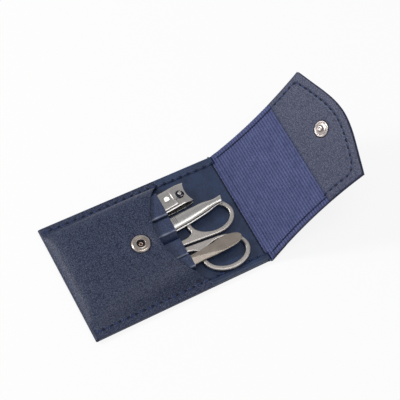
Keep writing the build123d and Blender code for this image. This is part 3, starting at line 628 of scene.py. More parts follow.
def inset_outline(outline, amount):
    """A closed outline moved inwards (or outwards) along its corners' bisectors."""
    outline = np.asarray(outline, float)
    before, after = np.roll(outline, 1, axis=0), np.roll(outline, -1, axis=0)
    d1, d2 = outline - before, after - outline
    d1 /= np.linalg.norm(d1, axis=1)[:, None]
    d2 /= np.linalg.norm(d2, axis=1)[:, None]
    n1, n2 = np.stack([-d1[:, 1], d1[:, 0]], 1), np.stack([-d2[:, 1], d2[:, 0]], 1)
    bisector = n1 + n2
    length = np.linalg.norm(bisector, axis=1)[:, None]
    bisector /= np.maximum(length, 1e-6)
    cosine = np.clip((bisector * n1).sum(1), 0.35, 1.0)[:, None]
    return outline + bisector * amount / cosine


def rings_to_piece(name, loops, materials, matrix, cuts=(), shape=None, marks=None):
    """A closed plate: each loop is a list of (closed outline, z) rings from top to bottom.

    Outlines run anticlockwise round the outside and clockwise round holes. Cuts are
    (point, direction) planes that add edges for a later bend, which shape gives, and
    marks sets the materials of its faces.
    """
    bm = bmesh.new()
    top_edges, bottom_edges = [], []
    for rings in loops:
        levels = [[bm.verts.new((x, y, z)) for x, y in outline] for outline, z in rings]
        for upper, lower in zip(levels, levels[1:]):
            for i in range(len(upper)):
                j = (i + 1) % len(upper)
                bm.faces.new((upper[i], lower[i], lower[j], upper[j]))
        for edges, level in ((top_edges, levels[0]), (bottom_edges, levels[-1])):
            for i in range(len(level)):
                edges.append(bm.edges.get((level[i], level[(i + 1) % len(level)])))
    for edges in (top_edges, bottom_edges):
        bmesh.ops.triangle_fill(bm, use_beauty=True, use_dissolve=False, edges=edges)
    bm.normal_update()
    flat = {f for f in bm.faces if abs(f.normal.z) > 0.999}
    inside = [e for e in bm.edges if e.link_faces and flat.issuperset(e.link_faces)]
    bmesh.ops.dissolve_limit(bm, angle_limit=0.01, verts=[], edges=inside)
    for point, direction in cuts:
        bmesh.ops.bisect_plane(bm, geom=bm.verts[:] + bm.edges[:] + bm.faces[:], dist=1e-5,
                               plane_co=Vector(point), plane_no=Vector(direction))
    bmesh.ops.recalc_face_normals(bm, faces=bm.faces)
    if marks:
        marks(bm)
    if shape:
        for v in bm.verts:
            v.co = Vector(shape(*v.co))
    return from_bmesh(name, bm, *materials, matrix=matrix)


def pouch_outline(inset, end_inset):
    """Tapered outline of the wallet's back, with slightly rounded corners."""
    end_half, fold_half = half_width(0) - inset, half_width(LENGTH) - inset
    near, far = END_Y + end_inset, FOLD_Y - 0.15
    return rounded([(-end_half, near), (end_half, near), (fold_half, far), (-fold_half, far)], 0.8)


def rounded(corners, radius):
    """A closed polygon with its corners rounded and its sides divided."""
    corners = np.asarray(corners, float)
    made = []
    for a, b, c in zip(np.roll(corners, 1, axis=0), corners, np.roll(corners, -1, axis=0)):
        start = b + (a - b) / np.linalg.norm(a - b) * radius
        end = b + (c - b) / np.linalg.norm(c - b) * radius
        for t in np.linspace(0, 1, 5):
            made.append((1 - t) ** 2 * start + 2 * t * (1 - t) * b + t ** 2 * end)
    return divided(np.array(made), 2.0)


def divided(outline, step):
    """A closed outline whose long sides have points about a step apart."""
    made = []
    for a, b in zip(outline, np.roll(outline, -1, axis=0)):
        count = max(1, int(round(np.linalg.norm(b - a) / step)))
        made += [a + (b - a) * i / count for i in range(count)]
    return np.array(made)


back = layer("back_leather_sheet", pouch_outline(0.0, 1.4), LEATHER, 0.0, (BACK_FACE,))
on_body(back, "pouch", ("back_leather", "back_board"))
panel = layer("inner_lining_panel", pouch_outline(0.1, 1.6), FLOOR_Z, LEATHER, (LINING_FACE,))
on_body(panel, "pouch", ("inner_panel",))


# =====================================================================
# Flap
# =====================================================================

def flap_half(station):
    """Half width of the flap: the parabola through its widths at fold, waist and corners."""
    fold, waist, corner = FLAP_FOLD_WIDTH / 2, FLAP_WAIST_WIDTH / 2, FLAP_CORNER_WIDTH / 2
    t = np.clip(np.asarray(station, float) / FLAP_CORNER, 0, 1)
    w = FLAP_WAIST / FLAP_CORNER
    return (fold * (t - w) * (t - 1) / w + waist * t * (t - 1) / (w * (w - 1))
            + corner * t * (t - w) / (1 - w))


def tip_station(x, inset=0.0):
    """Station of the flap's rounded end at x."""
    rise, chord = FLAP_TIP - FLAP_CORNER, FLAP_CORNER_WIDTH / 2
    radius = (chord ** 2 + rise ** 2) / (2 * rise)
    x = np.asarray(x, float)
    trim = TIP_TRIM * np.sin(math.pi * np.clip(np.abs(x) / chord, 0, 1) ** 1.6)
    return FLAP_TIP - radius + np.sqrt((radius - inset) ** 2 - x ** 2) - trim


def flap_sheet(start, end, columns, rows):
    """Grid of a stretch of the flap in its own frame. Without an end it runs to the rounded tip."""
    across = np.linspace(-1, 1, columns)
    side_end = FLAP_CORNER if end is None else end
    ends = tip_station(across * (FLAP_CORNER_WIDTH / 2)) if end is None else np.full(columns, end)
    return np.array([
        np.stack([across * flap_half(start + share * (side_end - start)),
                  start + share * (ends - start), np.zeros(columns)], 1)
        for share in np.linspace(0, 1, rows)])


def flap_outline(start):
    """Closed outline of the flap beyond a station, anticlockwise."""
    stations = np.linspace(start, FLAP_CORNER, max(2, int((FLAP_CORNER - start) / 2)))
    right = np.stack([flap_half(stations), stations], 1)
    x = np.linspace(FLAP_CORNER_WIDTH / 2, -FLAP_CORNER_WIDTH / 2, 38)[1:-1]
    tip = np.stack([x, tip_station(x)], 1)
    return divided(np.concatenate([right, tip, right[::-1] * (-1, 1)]), 2.5)


def distance_to(points, path):
    """Distance from points to an open path."""
    best = np.full(len(points), 1e9)
    for a, b in zip(path, path[1:]):
        d = b - a
        t = np.clip(((points - a) @ d) / (d @ d), 0, 1)
        best = np.minimum(best, np.linalg.norm(points - a - t[:, None] * d, axis=1))
    return best


def seam_side(side, inset, rounding):
    """The flap's seam on one side, from its foot to the middle of the rounded end."""
    stations = np.linspace(FLAP_SEAM_FOOT, FLAP_CORNER - 1.0, 60)
    corner = FLAP_CORNER_WIDTH / 2 - inset
    turn = np.array([corner, tip_station(corner, FLAP_SEAM_INSET)])
    edge = np.stack([flap_half(stations) - inset, stations], 1)
    edge = edge[edge[:, 1] < turn[1] - rounding]
    x = np.linspace(corner - rounding, 0, 30)
    tip = np.stack([x, tip_station(x, FLAP_SEAM_INSET)], 1)
    t = np.linspace(0, 1, 12)[1:-1, None]
    bend = (1 - t) ** 2 * edge[-1] + 2 * t * (1 - t) * turn + t ** 2 * tip[0]
    return np.concatenate([edge, bend, tip]) * (side, 1)


# the seam runs nearer to the edge on one side than on the other, as it was sewn
FLAP_SEAM = np.concatenate([seam_side(-1, FLAP_SEAM_LEFT, 3.4),
                            seam_side(1, FLAP_SEAM_INSET, 6.0)[-2::-1]])


def on_flap_plane(points):
    """Points of the flap's own frame, as points of the part."""
    return placed(np.reshape(points, (-1, 3)), FLAP)


def make_facing():
    """The smooth end of the flap, drawn down by its seam and pressed in round the stud."""
    grid = flap_sheet(RIBBED_END, None, 121, 76)
    points = grid.reshape(-1, 3)
    plan = points[:, :2]
    edge = flap_outline(0.0)
    from_seam = distance_to(plan, FLAP_SEAM)
    from_edge = distance_to(plan, np.vstack([edge, edge[:1]]))
    from_stud = np.hypot(plan[:, 0] - STUD_X, plan[:, 1] - STUD_PLACE)
    points[:, 2] = (-0.28 * np.exp(-(from_seam / 0.55) ** 2)
                    + 0.1 * np.exp(-(from_seam / 1.6) ** 2)
                    - 0.25 * np.exp(-from_edge / 0.35)
                    - 0.12 * np.exp(-((from_stud - 4.4) / 0.9) ** 2)
                    + 0.22 * (1 - np.exp(-(plan[:, 1] - RIBBED_END) / 0.5)))
    made = walled(piece("flap_facing_leather", on_flap_plane(points),
                        grid_faces(*grid.shape[:2]), FACING_PAINTED_LIGHTER, EDGE), 1.15)
    return on_body(made, "flap", ("flap_facing",))


flap_back = layer("flap_outer_leather", flap_outline(SPINE + 3.2), LEATHER - STACK, -STACK,
                  (BACK_FACE, EDGE), FLAP)
on_body(flap_back, "flap", ("flap_leather", "flap_board"))
make_facing()


# =====================================================================
# Ribbed lining, over the spine and the near half of the flap
# =====================================================================

def new_tree(name, given_shape, sizes, material, made_shape):
    """An empty geometry tree, its input node, and the identifiers of its named inputs."""
    tree = bpy.data.node_groups.new(name, "GeometryNodeTree")

    def socket(label, kind, way="INPUT"):
        """Adds a named input or output, and says what the modifier calls it."""
        return tree.interface.new_socket(label, in_out=way, socket_type=kind).identifier

    socket(given_shape, "NodeSocketGeometry")
    names = {label: socket(label, "NodeSocketFloat") for label in sizes}
    names[material] = socket(material, "NodeSocketMaterial")
    socket(made_shape, "NodeSocketGeometry", "OUTPUT")
    return tree, node(tree, "NodeGroupInput"), names


def end_tree(tree, shape, material):
    """Closes a geometry tree: instances made real, and the material set."""
    real = node(tree, "GeometryNodeRealizeInstances", {"Geometry": shape})
    finished = node(tree, "GeometryNodeSetMaterial", {"Geometry": real.outputs[0],
                                                      "Material": material})
    node(tree, "NodeGroupOutput", {0: finished.outputs[0]})


def grown(thing, tree, names, values):
    """The piece that a geometry tree makes of a mesh, as a plain smooth mesh."""
    run = thing.modifiers.new("tree", "NODES")
    run.node_group = tree
    for label, value in values.items():
        run[names[label]] = value
    applied(thing).data.shade_smooth()
    return thing


def ribs_tree():
    """Geometry nodes that raise ribs on a sheet, from each point's station."""
    tree, given, names = new_tree("raised_ribs", "Sheet", ("Rib pitch", "Rib height"), "Cloth",
                                  "Sheet")
    station = node(tree, "GeometryNodeInputNamedAttribute", {"Name": "station"},
                   data_type="FLOAT")
    turns = node(tree, "ShaderNodeMath", {0: station.outputs["Attribute"],
                                          1: given.outputs["Rib pitch"]}, operation="DIVIDE")
    angle = node(tree, "ShaderNodeMath", {0: turns.outputs[0], 1: math.pi}, operation="MULTIPLY")
    wave = node(tree, "ShaderNodeMath", {0: angle.outputs[0]}, operation="SINE")
    round_top = node(tree, "ShaderNodeMath", {0: wave.outputs[0]}, operation="ABSOLUTE")
    # the rib's height is kept for the cloth's painted shade in its furrows
    kept = node(tree, "GeometryNodeStoreNamedAttribute", {
        "Geometry": given.outputs["Sheet"], "Name": "rib_height",
        "Value": round_top.outputs[0]}, data_type="FLOAT", domain="POINT")
    rise = node(tree, "ShaderNodeMath", {0: round_top.outputs[0],
                                         1: given.outputs["Rib height"]}, operation="MULTIPLY")
    normal = node(tree, "GeometryNodeInputNormal")
    offset = node(tree, "ShaderNodeVectorMath", {0: normal.outputs[0], "Scale": rise.outputs[0]},
                  operation="SCALE")
    moved = node(tree, "GeometryNodeSetPosition", {"Geometry": kept.outputs[0],
                                                   "Offset": offset.outputs["Vector"]})
    end_tree(tree, moved.outputs[0], given.outputs["Cloth"])
    return tree, names


RIBS, RIB_NAMES = ribs_tree()
RIB_PITCH, RIB_HEIGHT, RIB_ROWS = 1.78, 0.3, 9
CLOTH_COLUMNS, CLOTH_SUNK = 49, 0.33  # the cloth's ground lies this far below the flap's plane


def ribbed(name, points, stations):
    """A sheet of points with ribs raised on it, which are counted along its stations."""
    made = piece(name, points, grid_faces(len(points) // CLOTH_COLUMNS, CLOTH_COLUMNS))
    kept_at_points(made, "station", stations)
    grown(made, RIBS, RIB_NAMES, {"Rib pitch": RIB_PITCH, "Rib height": RIB_HEIGHT * MM,
                                  "Cloth": RIB_FACE})
    made.data.materials.append(EDGE)
    return walled(made, 0.55)


def rib_stations(first, last):
    """Stations of the cloth's rows, close enough to round each rib."""
    return np.linspace(first, last, max(2, int((last - first) / (RIB_PITCH / RIB_ROWS)) + 1))


def cloth_on_flap():
    """The cloth on the flap, drawn down by the seam that runs on over it."""
    rows = int((RIBBED_END + 0.5 - SPINE - BEND) / RIB_PITCH * RIB_ROWS)
    points = flap_sheet(SPINE + BEND, RIBBED_END + 0.5, CLOTH_COLUMNS, rows).reshape(-1, 3)
    from_seam = distance_to(points[:, :2], FLAP_SEAM)
    points[:, 2] = -CLOTH_SUNK - 0.16 * np.exp(-(from_seam / 0.45) ** 2)
    made = ribbed("ribbed_cloth_flap", on_flap_plane(points), points[:, 1])
    return on_body(made, "flap", ("flap_ribbed_lining",))


def cloth_over_spine():
    """The cloth over the second fold, between spine and flap."""
    grid = [np.stack([np.linspace(-1, 1, CLOTH_COLUMNS) * flap_half(s),
                      np.full(CLOTH_COLUMNS, s), np.full(CLOTH_COLUMNS, -CLOTH_SUNK)], 1)
            for s in rib_stations(SPINE / 2, SPINE + BEND)]
    points = np.concatenate(grid)
    made = ribbed("ribbed_cloth_spine", on_flap_plane(points), points[:, 1])
    return over_bodies(made, ("spine_lining",))


def inner_fold(station, height):
    """Point of the fold's inner side: flat before the fold, on the flap's plane after it."""
    t = np.clip((station + 1) / 2, 0, 1)
    share = t * t * (3 - 2 * t)
    before = np.array([0.0, FOLD_Y + station, FLOOR_Z + height])
    return before * (1 - share) + on_flap_plane((0.0, station, height))[0] * share


def cloth_over_fold():
    """The cloth from the wallet's last millimetres over the first fold, sewn to the panel."""
    stations = rib_stations(-1.2, SPINE / 2)
    grid = []
    for s in stations:
        middle = inner_fold(s, -0.1 if s > 0 else 0.02)
        half = flap_half(s) if s > 0 else half_width(LENGTH) + 0.3
        x = np.linspace(-1, 1, CLOTH_COLUMNS) * half
        # its corner bulges where the leather was folded hard
        x += 0.6 * math.exp(-(s / 2.0) ** 2) * np.clip(x / half, 0, 1) ** 8
        grid.append(np.stack([x, np.full(len(x), middle[1]), np.full(len(x), middle[2])], 1))
    made = ribbed("ribbed_cloth_fold", np.concatenate(grid), np.repeat(stations, CLOTH_COLUMNS))
    return over_bodies(made)


flap_cloth = cloth_on_flap()
cloth_over_spine()
cloth_over_fold()


# =====================================================================
# Outer leather round both folds
# =====================================================================

def outer_fold(station):
    """Point of the outer leather's outside: under the wallet, round the fold, behind the flap."""
    if station < 0:
        return np.array([0, FOLD_Y + station, 0.0])
    if station < REACH:
        angle = station / STACK
        return np.array([0, FOLD_Y + STACK * math.sin(angle), FLOOR_Z - STACK * math.cos(angle)])
    return on_flap_plane((0, station - REACH, -STACK))[0]


def outer_sheet(name, first, last, replaced=()):
    """A stretch of the outer leather, between stations along its outside."""
    stations = np.linspace(first, last, int((last - first) / 0.25) + 1)
    grid = []
    for s in stations:
        middle = outer_fold(s)
        half = half_width(LENGTH) if s < 0 else flap_half(max(0.0, s - REACH))
        x = np.linspace(1, -1, 41) * half
        grid.append(np.stack([x, np.full(len(x), middle[1]), np.full(len(x), middle[2])], 1))
    made = piece(name, np.concatenate(grid), grid_faces(len(stations), 41), BACK_FACE, EDGE)
    return over_bodies(walled(made, LEATHER),
                       replaced)


outer_sheet("fold_leather", -1.5, REACH + SPINE / 2,
            ("spine_leather",))
outer_sheet("spine_leather_sheet", REACH + SPINE / 2, REACH + SPINE + BEND)


# =====================================================================
# Stitches: thread dashes and awl holes along each seam
# =====================================================================

def stitch_tree():
    """Geometry nodes that set a stitch, or a hole, at every pitch of a path."""
    tree, given, names = new_tree("stitch_run", "Path",
                                  ("Pitch", "Length", "Width", "Height", "Slant"), "Thread",
                                  "Stitches")
    curve = node(tree, "GeometryNodeMeshToCurve", {"Mesh": given.outputs["Path"]})
    spaced = node(tree, "GeometryNodeCurveToPoints", {"Curve": curve.outputs[0],
                                                      "Length": given.outputs["Pitch"]},
                  mode="LENGTH")
    aligned = node(tree, "FunctionNodeAlignRotationToVector",
                   {"Vector": spaced.outputs["Tangent"]}, axis="X", pivot_axis="Z")
    turn = node(tree, "FunctionNodeAxisAngleToRotation", {"Axis": (0, 0, 1),
                                                          "Angle": given.outputs["Slant"]})
    slant = node(tree, "FunctionNodeRotateRotation", {"Rotation": aligned.outputs[0],
                                                      "Rotate By": turn.outputs[0]},
                 rotation_space="LOCAL")
    ball = node(tree, "GeometryNodeMeshUVSphere", {"Segments": 12, "Rings": 8, "Radius": 0.5})
    size = node(tree, "ShaderNodeCombineXYZ", {"X": given.outputs["Length"],
                                               "Y": given.outputs["Width"],
                                               "Z": given.outputs["Height"]})
    shaped = node(tree, "GeometryNodeTransform", {"Geometry": ball.outputs[0],
                                                  "Scale": size.outputs[0]})
    along = node(tree, "GeometryNodeInstanceOnPoints", {
        "Points": spaced.outputs["Points"], "Instance": shaped.outputs[0],
        "Rotation": slant.outputs[0]})
    end_tree(tree, along.outputs[0], given.outputs["Thread"])
    return tree, names


STITCHES, STITCH_NAMES = stitch_tree()


def seam(name, paths, matrix, lift, material, pitch, size, slant=0.0):
    """Stitches along open paths, as one piece, lifted a little from a frame's plane.

    The size of a stitch is its length, its width and its height.
    """
    points, edges = [], []
    for path in paths:
        edges += [(i, i + 1) for i in range(len(points), len(points) + len(path) - 1)]
        points += [(x, y, lift) for x, y in path]
    mesh = bpy.data.meshes.new(name)
    mesh.from_pydata(points, edges, [])
    length, width, height = size
    made = grown(linked(name, mesh), STITCHES, STITCH_NAMES, {
        "Pitch": pitch, "Length": length, "Width": width, "Height": height,
        "Slant": math.radians(slant), "Thread": material})
    made.data.transform(Matrix.Scale(MM, 4) @ Matrix(matrix.tolist()))
    return made


def beyond(path, start):
    """A path without its first millimetres."""
    path = np.asarray(path, float)
    steps = np.concatenate([[0], np.cumsum(np.linalg.norm(np.diff(path, axis=0), axis=1))])
    at = np.arange(start, steps[-1], 0.5)
    return np.stack([np.interp(at, steps, path[:, 0]), np.interp(at, steps, path[:, 1])], 1)


def side_path(side):
    """Path of a side seam, from the closed end to the fold."""
    s = np.linspace(SIDE_SEAM_START, SIDE_SEAM_END, 80)
    return np.stack([side * (half_width(s) - side_inset(side, s)), END_Y + s], 1)


def sew_sides():
    """The side seams through front and back: threads, and the awl's holes between them."""
    paths, top = (side_path(-1), side_path(1)), FLOOR_Z + LEATHER
    threads = seam("side_seam_stitches", [beyond(path, 0.0) for path in paths], FLAT, top - 0.06,
                   THREAD, SIDE_PITCH, SIDE_STITCH, 4.0)
    on_body(threads, "pouch", ("side_seam_threads",))
    # the awl's holes are near-black marks: painted shade
    holes = seam("side_seam_holes", [beyond(path, SIDE_PITCH / 2) for path in paths], FLAT,
                 top - 0.02, HOLE_SHADE, SIDE_PITCH, SIDE_HOLE)
    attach(holes, "pouch")


def sew_facing():
    """The seam round the facing: threads, and the awl's holes between them."""
    path = FLAP_SEAM[FLAP_SEAM[:, 1] > RIBBED_END]
    threads = seam("flap_facing_stitches", [beyond(path, 1.0)], FLAP, 0.0, THREAD, FLAP_PITCH,
                   FACING_STITCH, 3.0)
    on_body(threads, "flap", ("flap_seam_threads",))
    # the awl's holes are near-black marks: painted shade
    holes = seam("flap_facing_holes", [beyond(path, 1.0 + FLAP_PITCH / 2)], FLAP, 0.04, HOLE_SHADE,
                 FLAP_PITCH, FACING_HOLE)
    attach(holes, "flap")


def sew_cloth(name, first, last, body):
    """The run of stitches near each side of the ribbed cloth, between two stations."""
    s = np.linspace(first, last, 40)
    paths = [beyond(np.stack([side * (flap_half(s) - CLOTH_SEAM_INSET), s], 1), 0.0)
             for side in (-1, 1)]
    made = seam(name, paths, FLAP, -0.1, EDGE, CLOTH_PITCH, CLOTH_STITCH)
    on_body(made, body)


def sew_fold():
    """The run of close stitches that holds the cloth's end beside the fold, drawn near-black and
    overlapping, so that they also paint a shadow line along the fold.
    """
    half, y = half_width(LENGTH) - 0.6, FOLD_Y - 1.45
    made = seam("fold_stitches_and_shadow_line", [[(-half, y), (half, y)]], FLAT, FLOOR_Z + 0.1, HOLE_SHADE, FOLD_PITCH,
                FOLD_STITCH)
    on_body(made, "pouch")


sew_sides()
sew_facing()
sew_cloth("ribbed_cloth_stitches", SPINE + 0.5, RIBBED_END, "flap")
sew_cloth("spine_cloth_stitches", 2.4, SPINE - 0.6, "spine")
sew_fold()


# =====================================================================
# Steel tools
# =====================================================================

def arc_points(a, b, c, count):
    """Points of the circle through three points, from the first to the last."""
    a, b, c = (np.asarray(p, float) for p in (a, b, c))
    ax, ay, bx, by = *(b - a), *(c - a)
    d = 2 * (ax * by - ay * bx)
    centre = a + np.array([by * (ax * ax + ay * ay) - ay * (bx * bx + by * by),
                           ax * (bx * bx + by * by) - bx * (ax * ax + ay * ay)]) / d
    start, mid, end = (math.atan2(*(p - centre)[::-1]) for p in (a, b, c))
    turn = (end - start) % (2 * math.pi)
    if (mid - start) % (2 * math.pi) > turn:
        turn -= 2 * math.pi
    angles = start + turn * np.linspace(0, 1, count)
    return centre + np.linalg.norm(a - centre) * np.stack([np.cos(angles), np.sin(angles)], 1)


def round_hole(centre, radius, count=40):
    """Closed outline of a round hole, clockwise as holes run."""
    angles = -np.linspace(0, 2 * math.pi, count, endpoint=False)
    return np.asarray(centre, float) + radius * np.stack([np.cos(angles), np.sin(angles)], 1)


def eased(outline, top, bottom, ease, drop):
    """Rings of a plate's outline from its top to its bottom, with both edges rounded.

    The rounding reaches in by ease, which may differ from point to point, and down by drop.
    """
    steps = [((1 - math.sin(a)) * np.reshape(ease, (-1, 1)), (1 - math.cos(a)) * drop)
             for a in np.radians(np.linspace(0, 90, 6))]
    upper = [(inset_outline(outline, inset), top - down) for inset, down in steps]
    lower = [(inset_outline(outline, inset), bottom + down) for inset, down in reversed(steps)]
    return upper + lower


def crossing(axis, places):
    """Cuts square to an axis (0 is X, 1 is Y) at places along it, for a bend to follow."""
    direction = (0, 1, 0) if axis else (1, 0, 0)
    return [(tuple(place * d for d in direction), direction) for place in places]


def steel_plate(name, loops, thickness, ease, matrix, cuts, shape, materials, body, replaced):
    """A stamped or forged plate with eased edges, on its body.

    Its ease is one distance, or a function that gives one for each point of a loop.
    """
    def painted_shade_sides(bm):
        """Gives the sheared sides the dark steel: painted shade."""
        for f in bm.faces:
            if abs(f.normal.z) < 0.35:
                f.material_index = 1
    rings = []
    for loop in loops:
        loop = np.asarray(loop, float)
        inwards, down = (ease(loop), 0.55) if callable(ease) else (ease, ease)
        rings.append(eased(loop, thickness, 0.0, inwards, down))
    made = rings_to_piece(name, rings, materials, matrix, cuts, shape, painted_shade_sides)
    return on_body(grained_along(weighted(made), matrix), body, replaced)


def grained_along(thing, matrix):
    """Keeps each point's place in the tool's own frame, in millimetres, for the steel's grain."""
    spots = np.empty(3 * len(thing.data.vertices), np.float32)
    thing.data.vertices.foreach_get("co", spots)
    own = (spots.reshape(-1, 3) / MM - matrix[:3, 3]) @ matrix[:3, :3]
    return kept_at_points(thing, "grain_place", own)


def lathe(name, profile, matrix, material, body, replaced, sides, y=0.0):
    """A turned piece: its profile is (radius, height), from the bottom to the top.

    A profile that keeps off the axis closes into a ring.
    """
    profile = np.asarray(profile, float)
    angles = np.linspace(0, 2 * math.pi, sides, endpoint=False)
    bm = bmesh.new()
    rings = []
    for radius, z in profile:
        if radius < 1e-6:
            rings.append([bm.verts.new((0.0, y, z))])
        else:
            rings.append([bm.verts.new((radius * math.cos(a), y + radius * math.sin(a), z))
                          for a in angles])
    for low_ring, high_ring in zip(rings, rings[1:]):
        for i in range(sides):
            j = (i + 1) % sides
            corners = dict.fromkeys([low_ring[i % len(low_ring)], low_ring[j % len(low_ring)],
                                     high_ring[j % len(high_ring)], high_ring[i % len(high_ring)]])
            if len(corners) > 2:
                bm.faces.new(corners)
    if len(rings[0]) > 1 and len(rings[-1]) > 1:
        for i in range(sides):
            j = (i + 1) % sides
            bm.faces.new((rings[-1][i], rings[-1][j], rings[0][j], rings[0][i]))
    made = from_bmesh(name, bm, material, matrix=matrix)
    return on_body(grained_along(weighted(made), matrix), body, replaced)


def fillets(points, radius, steps):
    """An open line of points with its inner corners rounded."""
    points = [np.asarray(p, float) for p in points]
    made = [points[0]]
    for a, b, c in zip(points, points[1:], points[2:]):
        r = min(radius, 0.45 * np.linalg.norm(a - b), 0.45 * np.linalg.norm(c - b))
        start = b + (a - b) / np.linalg.norm(a - b) * r
        end = b + (c - b) / np.linalg.norm(c - b) * r
        made += [(1 - t) ** 2 * start + 2 * t * (1 - t) * b + t ** 2 * end
                 for t in np.linspace(0, 1, steps)]
    return np.array(made + [points[-1]])


def inside_of(matrix, x, y, z):
    """A place in a tool's frame, as a point of the part."""
    return placed([(x, y, z)], matrix)[0]


def laid(x, station, length, skew, pitch=0.0):
    """Frame of a tool on the lining: its far end shows at x and a station.

    The tool turns to the side by its skew, and rises towards that end by its pitch.
    """
    run, s = length * math.cos(math.radians(pitch)), math.radians(skew)
    return tool_frame(x + run * math.sin(s), END_Y + station - run * math.cos(s),
                      FLOOR_Z + 0.25, skew, pitch)


# ---- Nail clipper ----
CLIPPER_LENGTH, CLIPPER_WIDTH, CLIPPER_TAIL = 56.0, 12.6, 11.0
CLIPPER_PLATE, CLIPPER_PIVOT, CLIPPER_LIP, CLIPPER_BITE = 1.1, 3.0, 1.7, 1.7
CLIPPER_BEND, CLIPPER_SPREAD = 5.4, 5.2  # length of the bent jaws, and their opening in degrees
CLIPPER_X, CLIPPER_END, CLIPPER_SKEW = -19.6, 83.5, 3.5
LOWER = laid(CLIPPER_X, CLIPPER_END, CLIPPER_LENGTH, CLIPPER_SKEW)
UPPER = tool_frame(*inside_of(LOWER, 0, CLIPPER_PIVOT, CLIPPER_PLATE + 0.1), CLIPPER_SKEW,
                   CLIPPER_SPREAD)
REACH_UP = CLIPPER_LENGTH - CLIPPER_PIVOT
PIN_STATION = CLIPPER_LENGTH - 5.4
PIN_REACH = (PIN_STATION - CLIPPER_PIVOT) / math.cos(math.radians(CLIPPER_SPREAD))
LEVER_THICK, LEVER_HALF, LEVER_END, TONGUE_HALF, SLOT_HALF = 0.8, 5.1, REACH_UP - 8.6, 1.75, 1.0


def clipper_outline(start, length):
    """Plan of a clipper plate, anticlockwise, with a concave cutting edge."""
    w, t = CLIPPER_WIDTH / 2, CLIPPER_TAIL / 2
    tail = arc_points((-t, start + 3), (0, start), (t, start + 3), 15)
    edge = arc_points((w, length), (0, length - CLIPPER_BITE), (-w, length), 17)
    right = [(w, s) for s in np.linspace(length * 0.55, length, 12)[:-1]]
    return np.concatenate([tail, right, edge, [(-x, y) for x, y in right[::-1]]])


def jaw_bend(length, lip, fold=0.0):
    """Bends the front of a jaw by its lip, and folds its long edges down a little."""
    def bend(x, y, z):
        """Where a point of the flat plate goes."""
        t = max(0.0, min(1.0, (y - (length - CLIPPER_BEND)) / CLIPPER_BEND))
        drop = lip * t * (0.6 + 0.4 * t)
        over = max(0.0, abs(x) - (CLIPPER_WIDTH / 2 - 0.75)) / 0.75
        return x, y, z + drop - fold * over
    return bend


steel_plate("clipper_upper_plate",
            [clipper_outline(-CLIPPER_PIVOT, REACH_UP),
             round_hole((0, PIN_REACH), 2.55), round_hole((0, 0), 1.15, 24)],
            CLIPPER_PLATE, 0.14, UPPER,
            crossing(1, [REACH_UP - CLIPPER_BEND + d for d in (0.0, 0.9, 1.8, 2.7, 3.6, 4.4)])
            + crossing(0, (-5.55, 5.55, -5.9, 5.9)), jaw_bend(REACH_UP, -CLIPPER_LIP, 0.26),
            (PLATE_STEEL, SHADED_SIDE_STEEL), "clipper_top", ("clipper_upper_jaw",))
steel_plate("clipper_lower_plate",
            [clipper_outline(0.0, CLIPPER_LENGTH),
             round_hole((0, PIN_STATION), 1.03, 24), round_hole((0, CLIPPER_PIVOT), 1.03, 24)],
            CLIPPER_PLATE, 0.18, LOWER,
            crossing(1, [CLIPPER_LENGTH - CLIPPER_BEND + d for d in (0.0, 1.2, 2.4, 3.6)]),
            jaw_bend(CLIPPER_LENGTH, CLIPPER_LIP),
            (PLATE_STEEL, SHADED_SIDE_STEEL), "clipper", ("clipper_lower_jaw",))

LEVER = UPPER.copy()
LEVER[:3, 3] = inside_of(UPPER, 0, 0, CLIPPER_PLATE + 0.1)


def lever_outline():
    """Plan of the lever, anticlockwise: its front edge is cut out beside a slotted tongue."""
    shoulder, base = LEVER_END - 1.0, PIN_REACH + 1.3
    right = np.concatenate([
        [(LEVER_HALF, s) for s in np.linspace(6, LEVER_END - 1.2, 8)],
        fillets([(LEVER_HALF, shoulder), (LEVER_HALF, LEVER_END), (TONGUE_HALF, LEVER_END),
                 (TONGUE_HALF, base), (SLOT_HALF, base), (SLOT_HALF, PIN_REACH)], 0.6, 4)])
    tail = arc_points((-LEVER_HALF, 4), (0, -2), (LEVER_HALF, 4), 17)
    seat = arc_points((SLOT_HALF, PIN_REACH), (0, PIN_REACH - SLOT_HALF),
                      (-SLOT_HALF, PIN_REACH), 9)[1:-1]
    return np.concatenate([tail, right, seat, right[::-1] * (-1, 1)])


def lever_form(x, y, z):
    """The lever's long edges turn down a little, and its tongue dips into the jaw's hole."""
    edge = max(0.0, abs(x) - 4.35) / 0.75
    shoulder = math.exp(-((y - LEVER_END + 0.75) / 0.5) ** 2) * math.exp(-((x + 0.8) / 3.2) ** 4)
    dip = max(0.0, min(1.0, (y - LEVER_END - 0.3) / 1.3))
    return x, y, z - 0.22 * edge + (0.3 * shoulder if z > 0.4 else 0.0) - 0.75 * dip


LEVER_CUTS = crossing(0, (-4.7, -4.35, -2.4, -1.5, -0.8, -0.2, 0.5, 1.2, 1.8, 2.4, 3.2, 4.35,
                          4.7))
LEVER_CUTS += crossing(1, [LEVER_END + d for d in (-2.0, -1.6, -1.3, -1.0, -0.75, -0.5, -0.25,
                                                   0.3, 0.7, 1.1, 1.6)])
steel_plate("clipper_lever_plate", [lever_outline()], LEVER_THICK, 0.16, LEVER, LEVER_CUTS,
            lever_form, (PLATE_STEEL, SHADED_SIDE_STEEL), "clipper_lever", ("clipper_lever",))
# the dimple is struck aslant: its far wall stands up
DIMPLE = np.array(Matrix.Translation((-0.6, LEVER_END - 4.3, 0.78))
                  @ Matrix.Rotation(math.radians(17.0), 4, "Y"))
lathe("clipper_lever_dimple", [(0.0, -0.3), (1.6, -0.3), (1.58, 0.2), (1.5, 0.27), (1.3, 0.3),
                               (0.0, 0.31)],
      LEVER @ DIMPLE, DIMPLE_HIGHLIGHT_STEEL, "clipper_lever", (), 40)
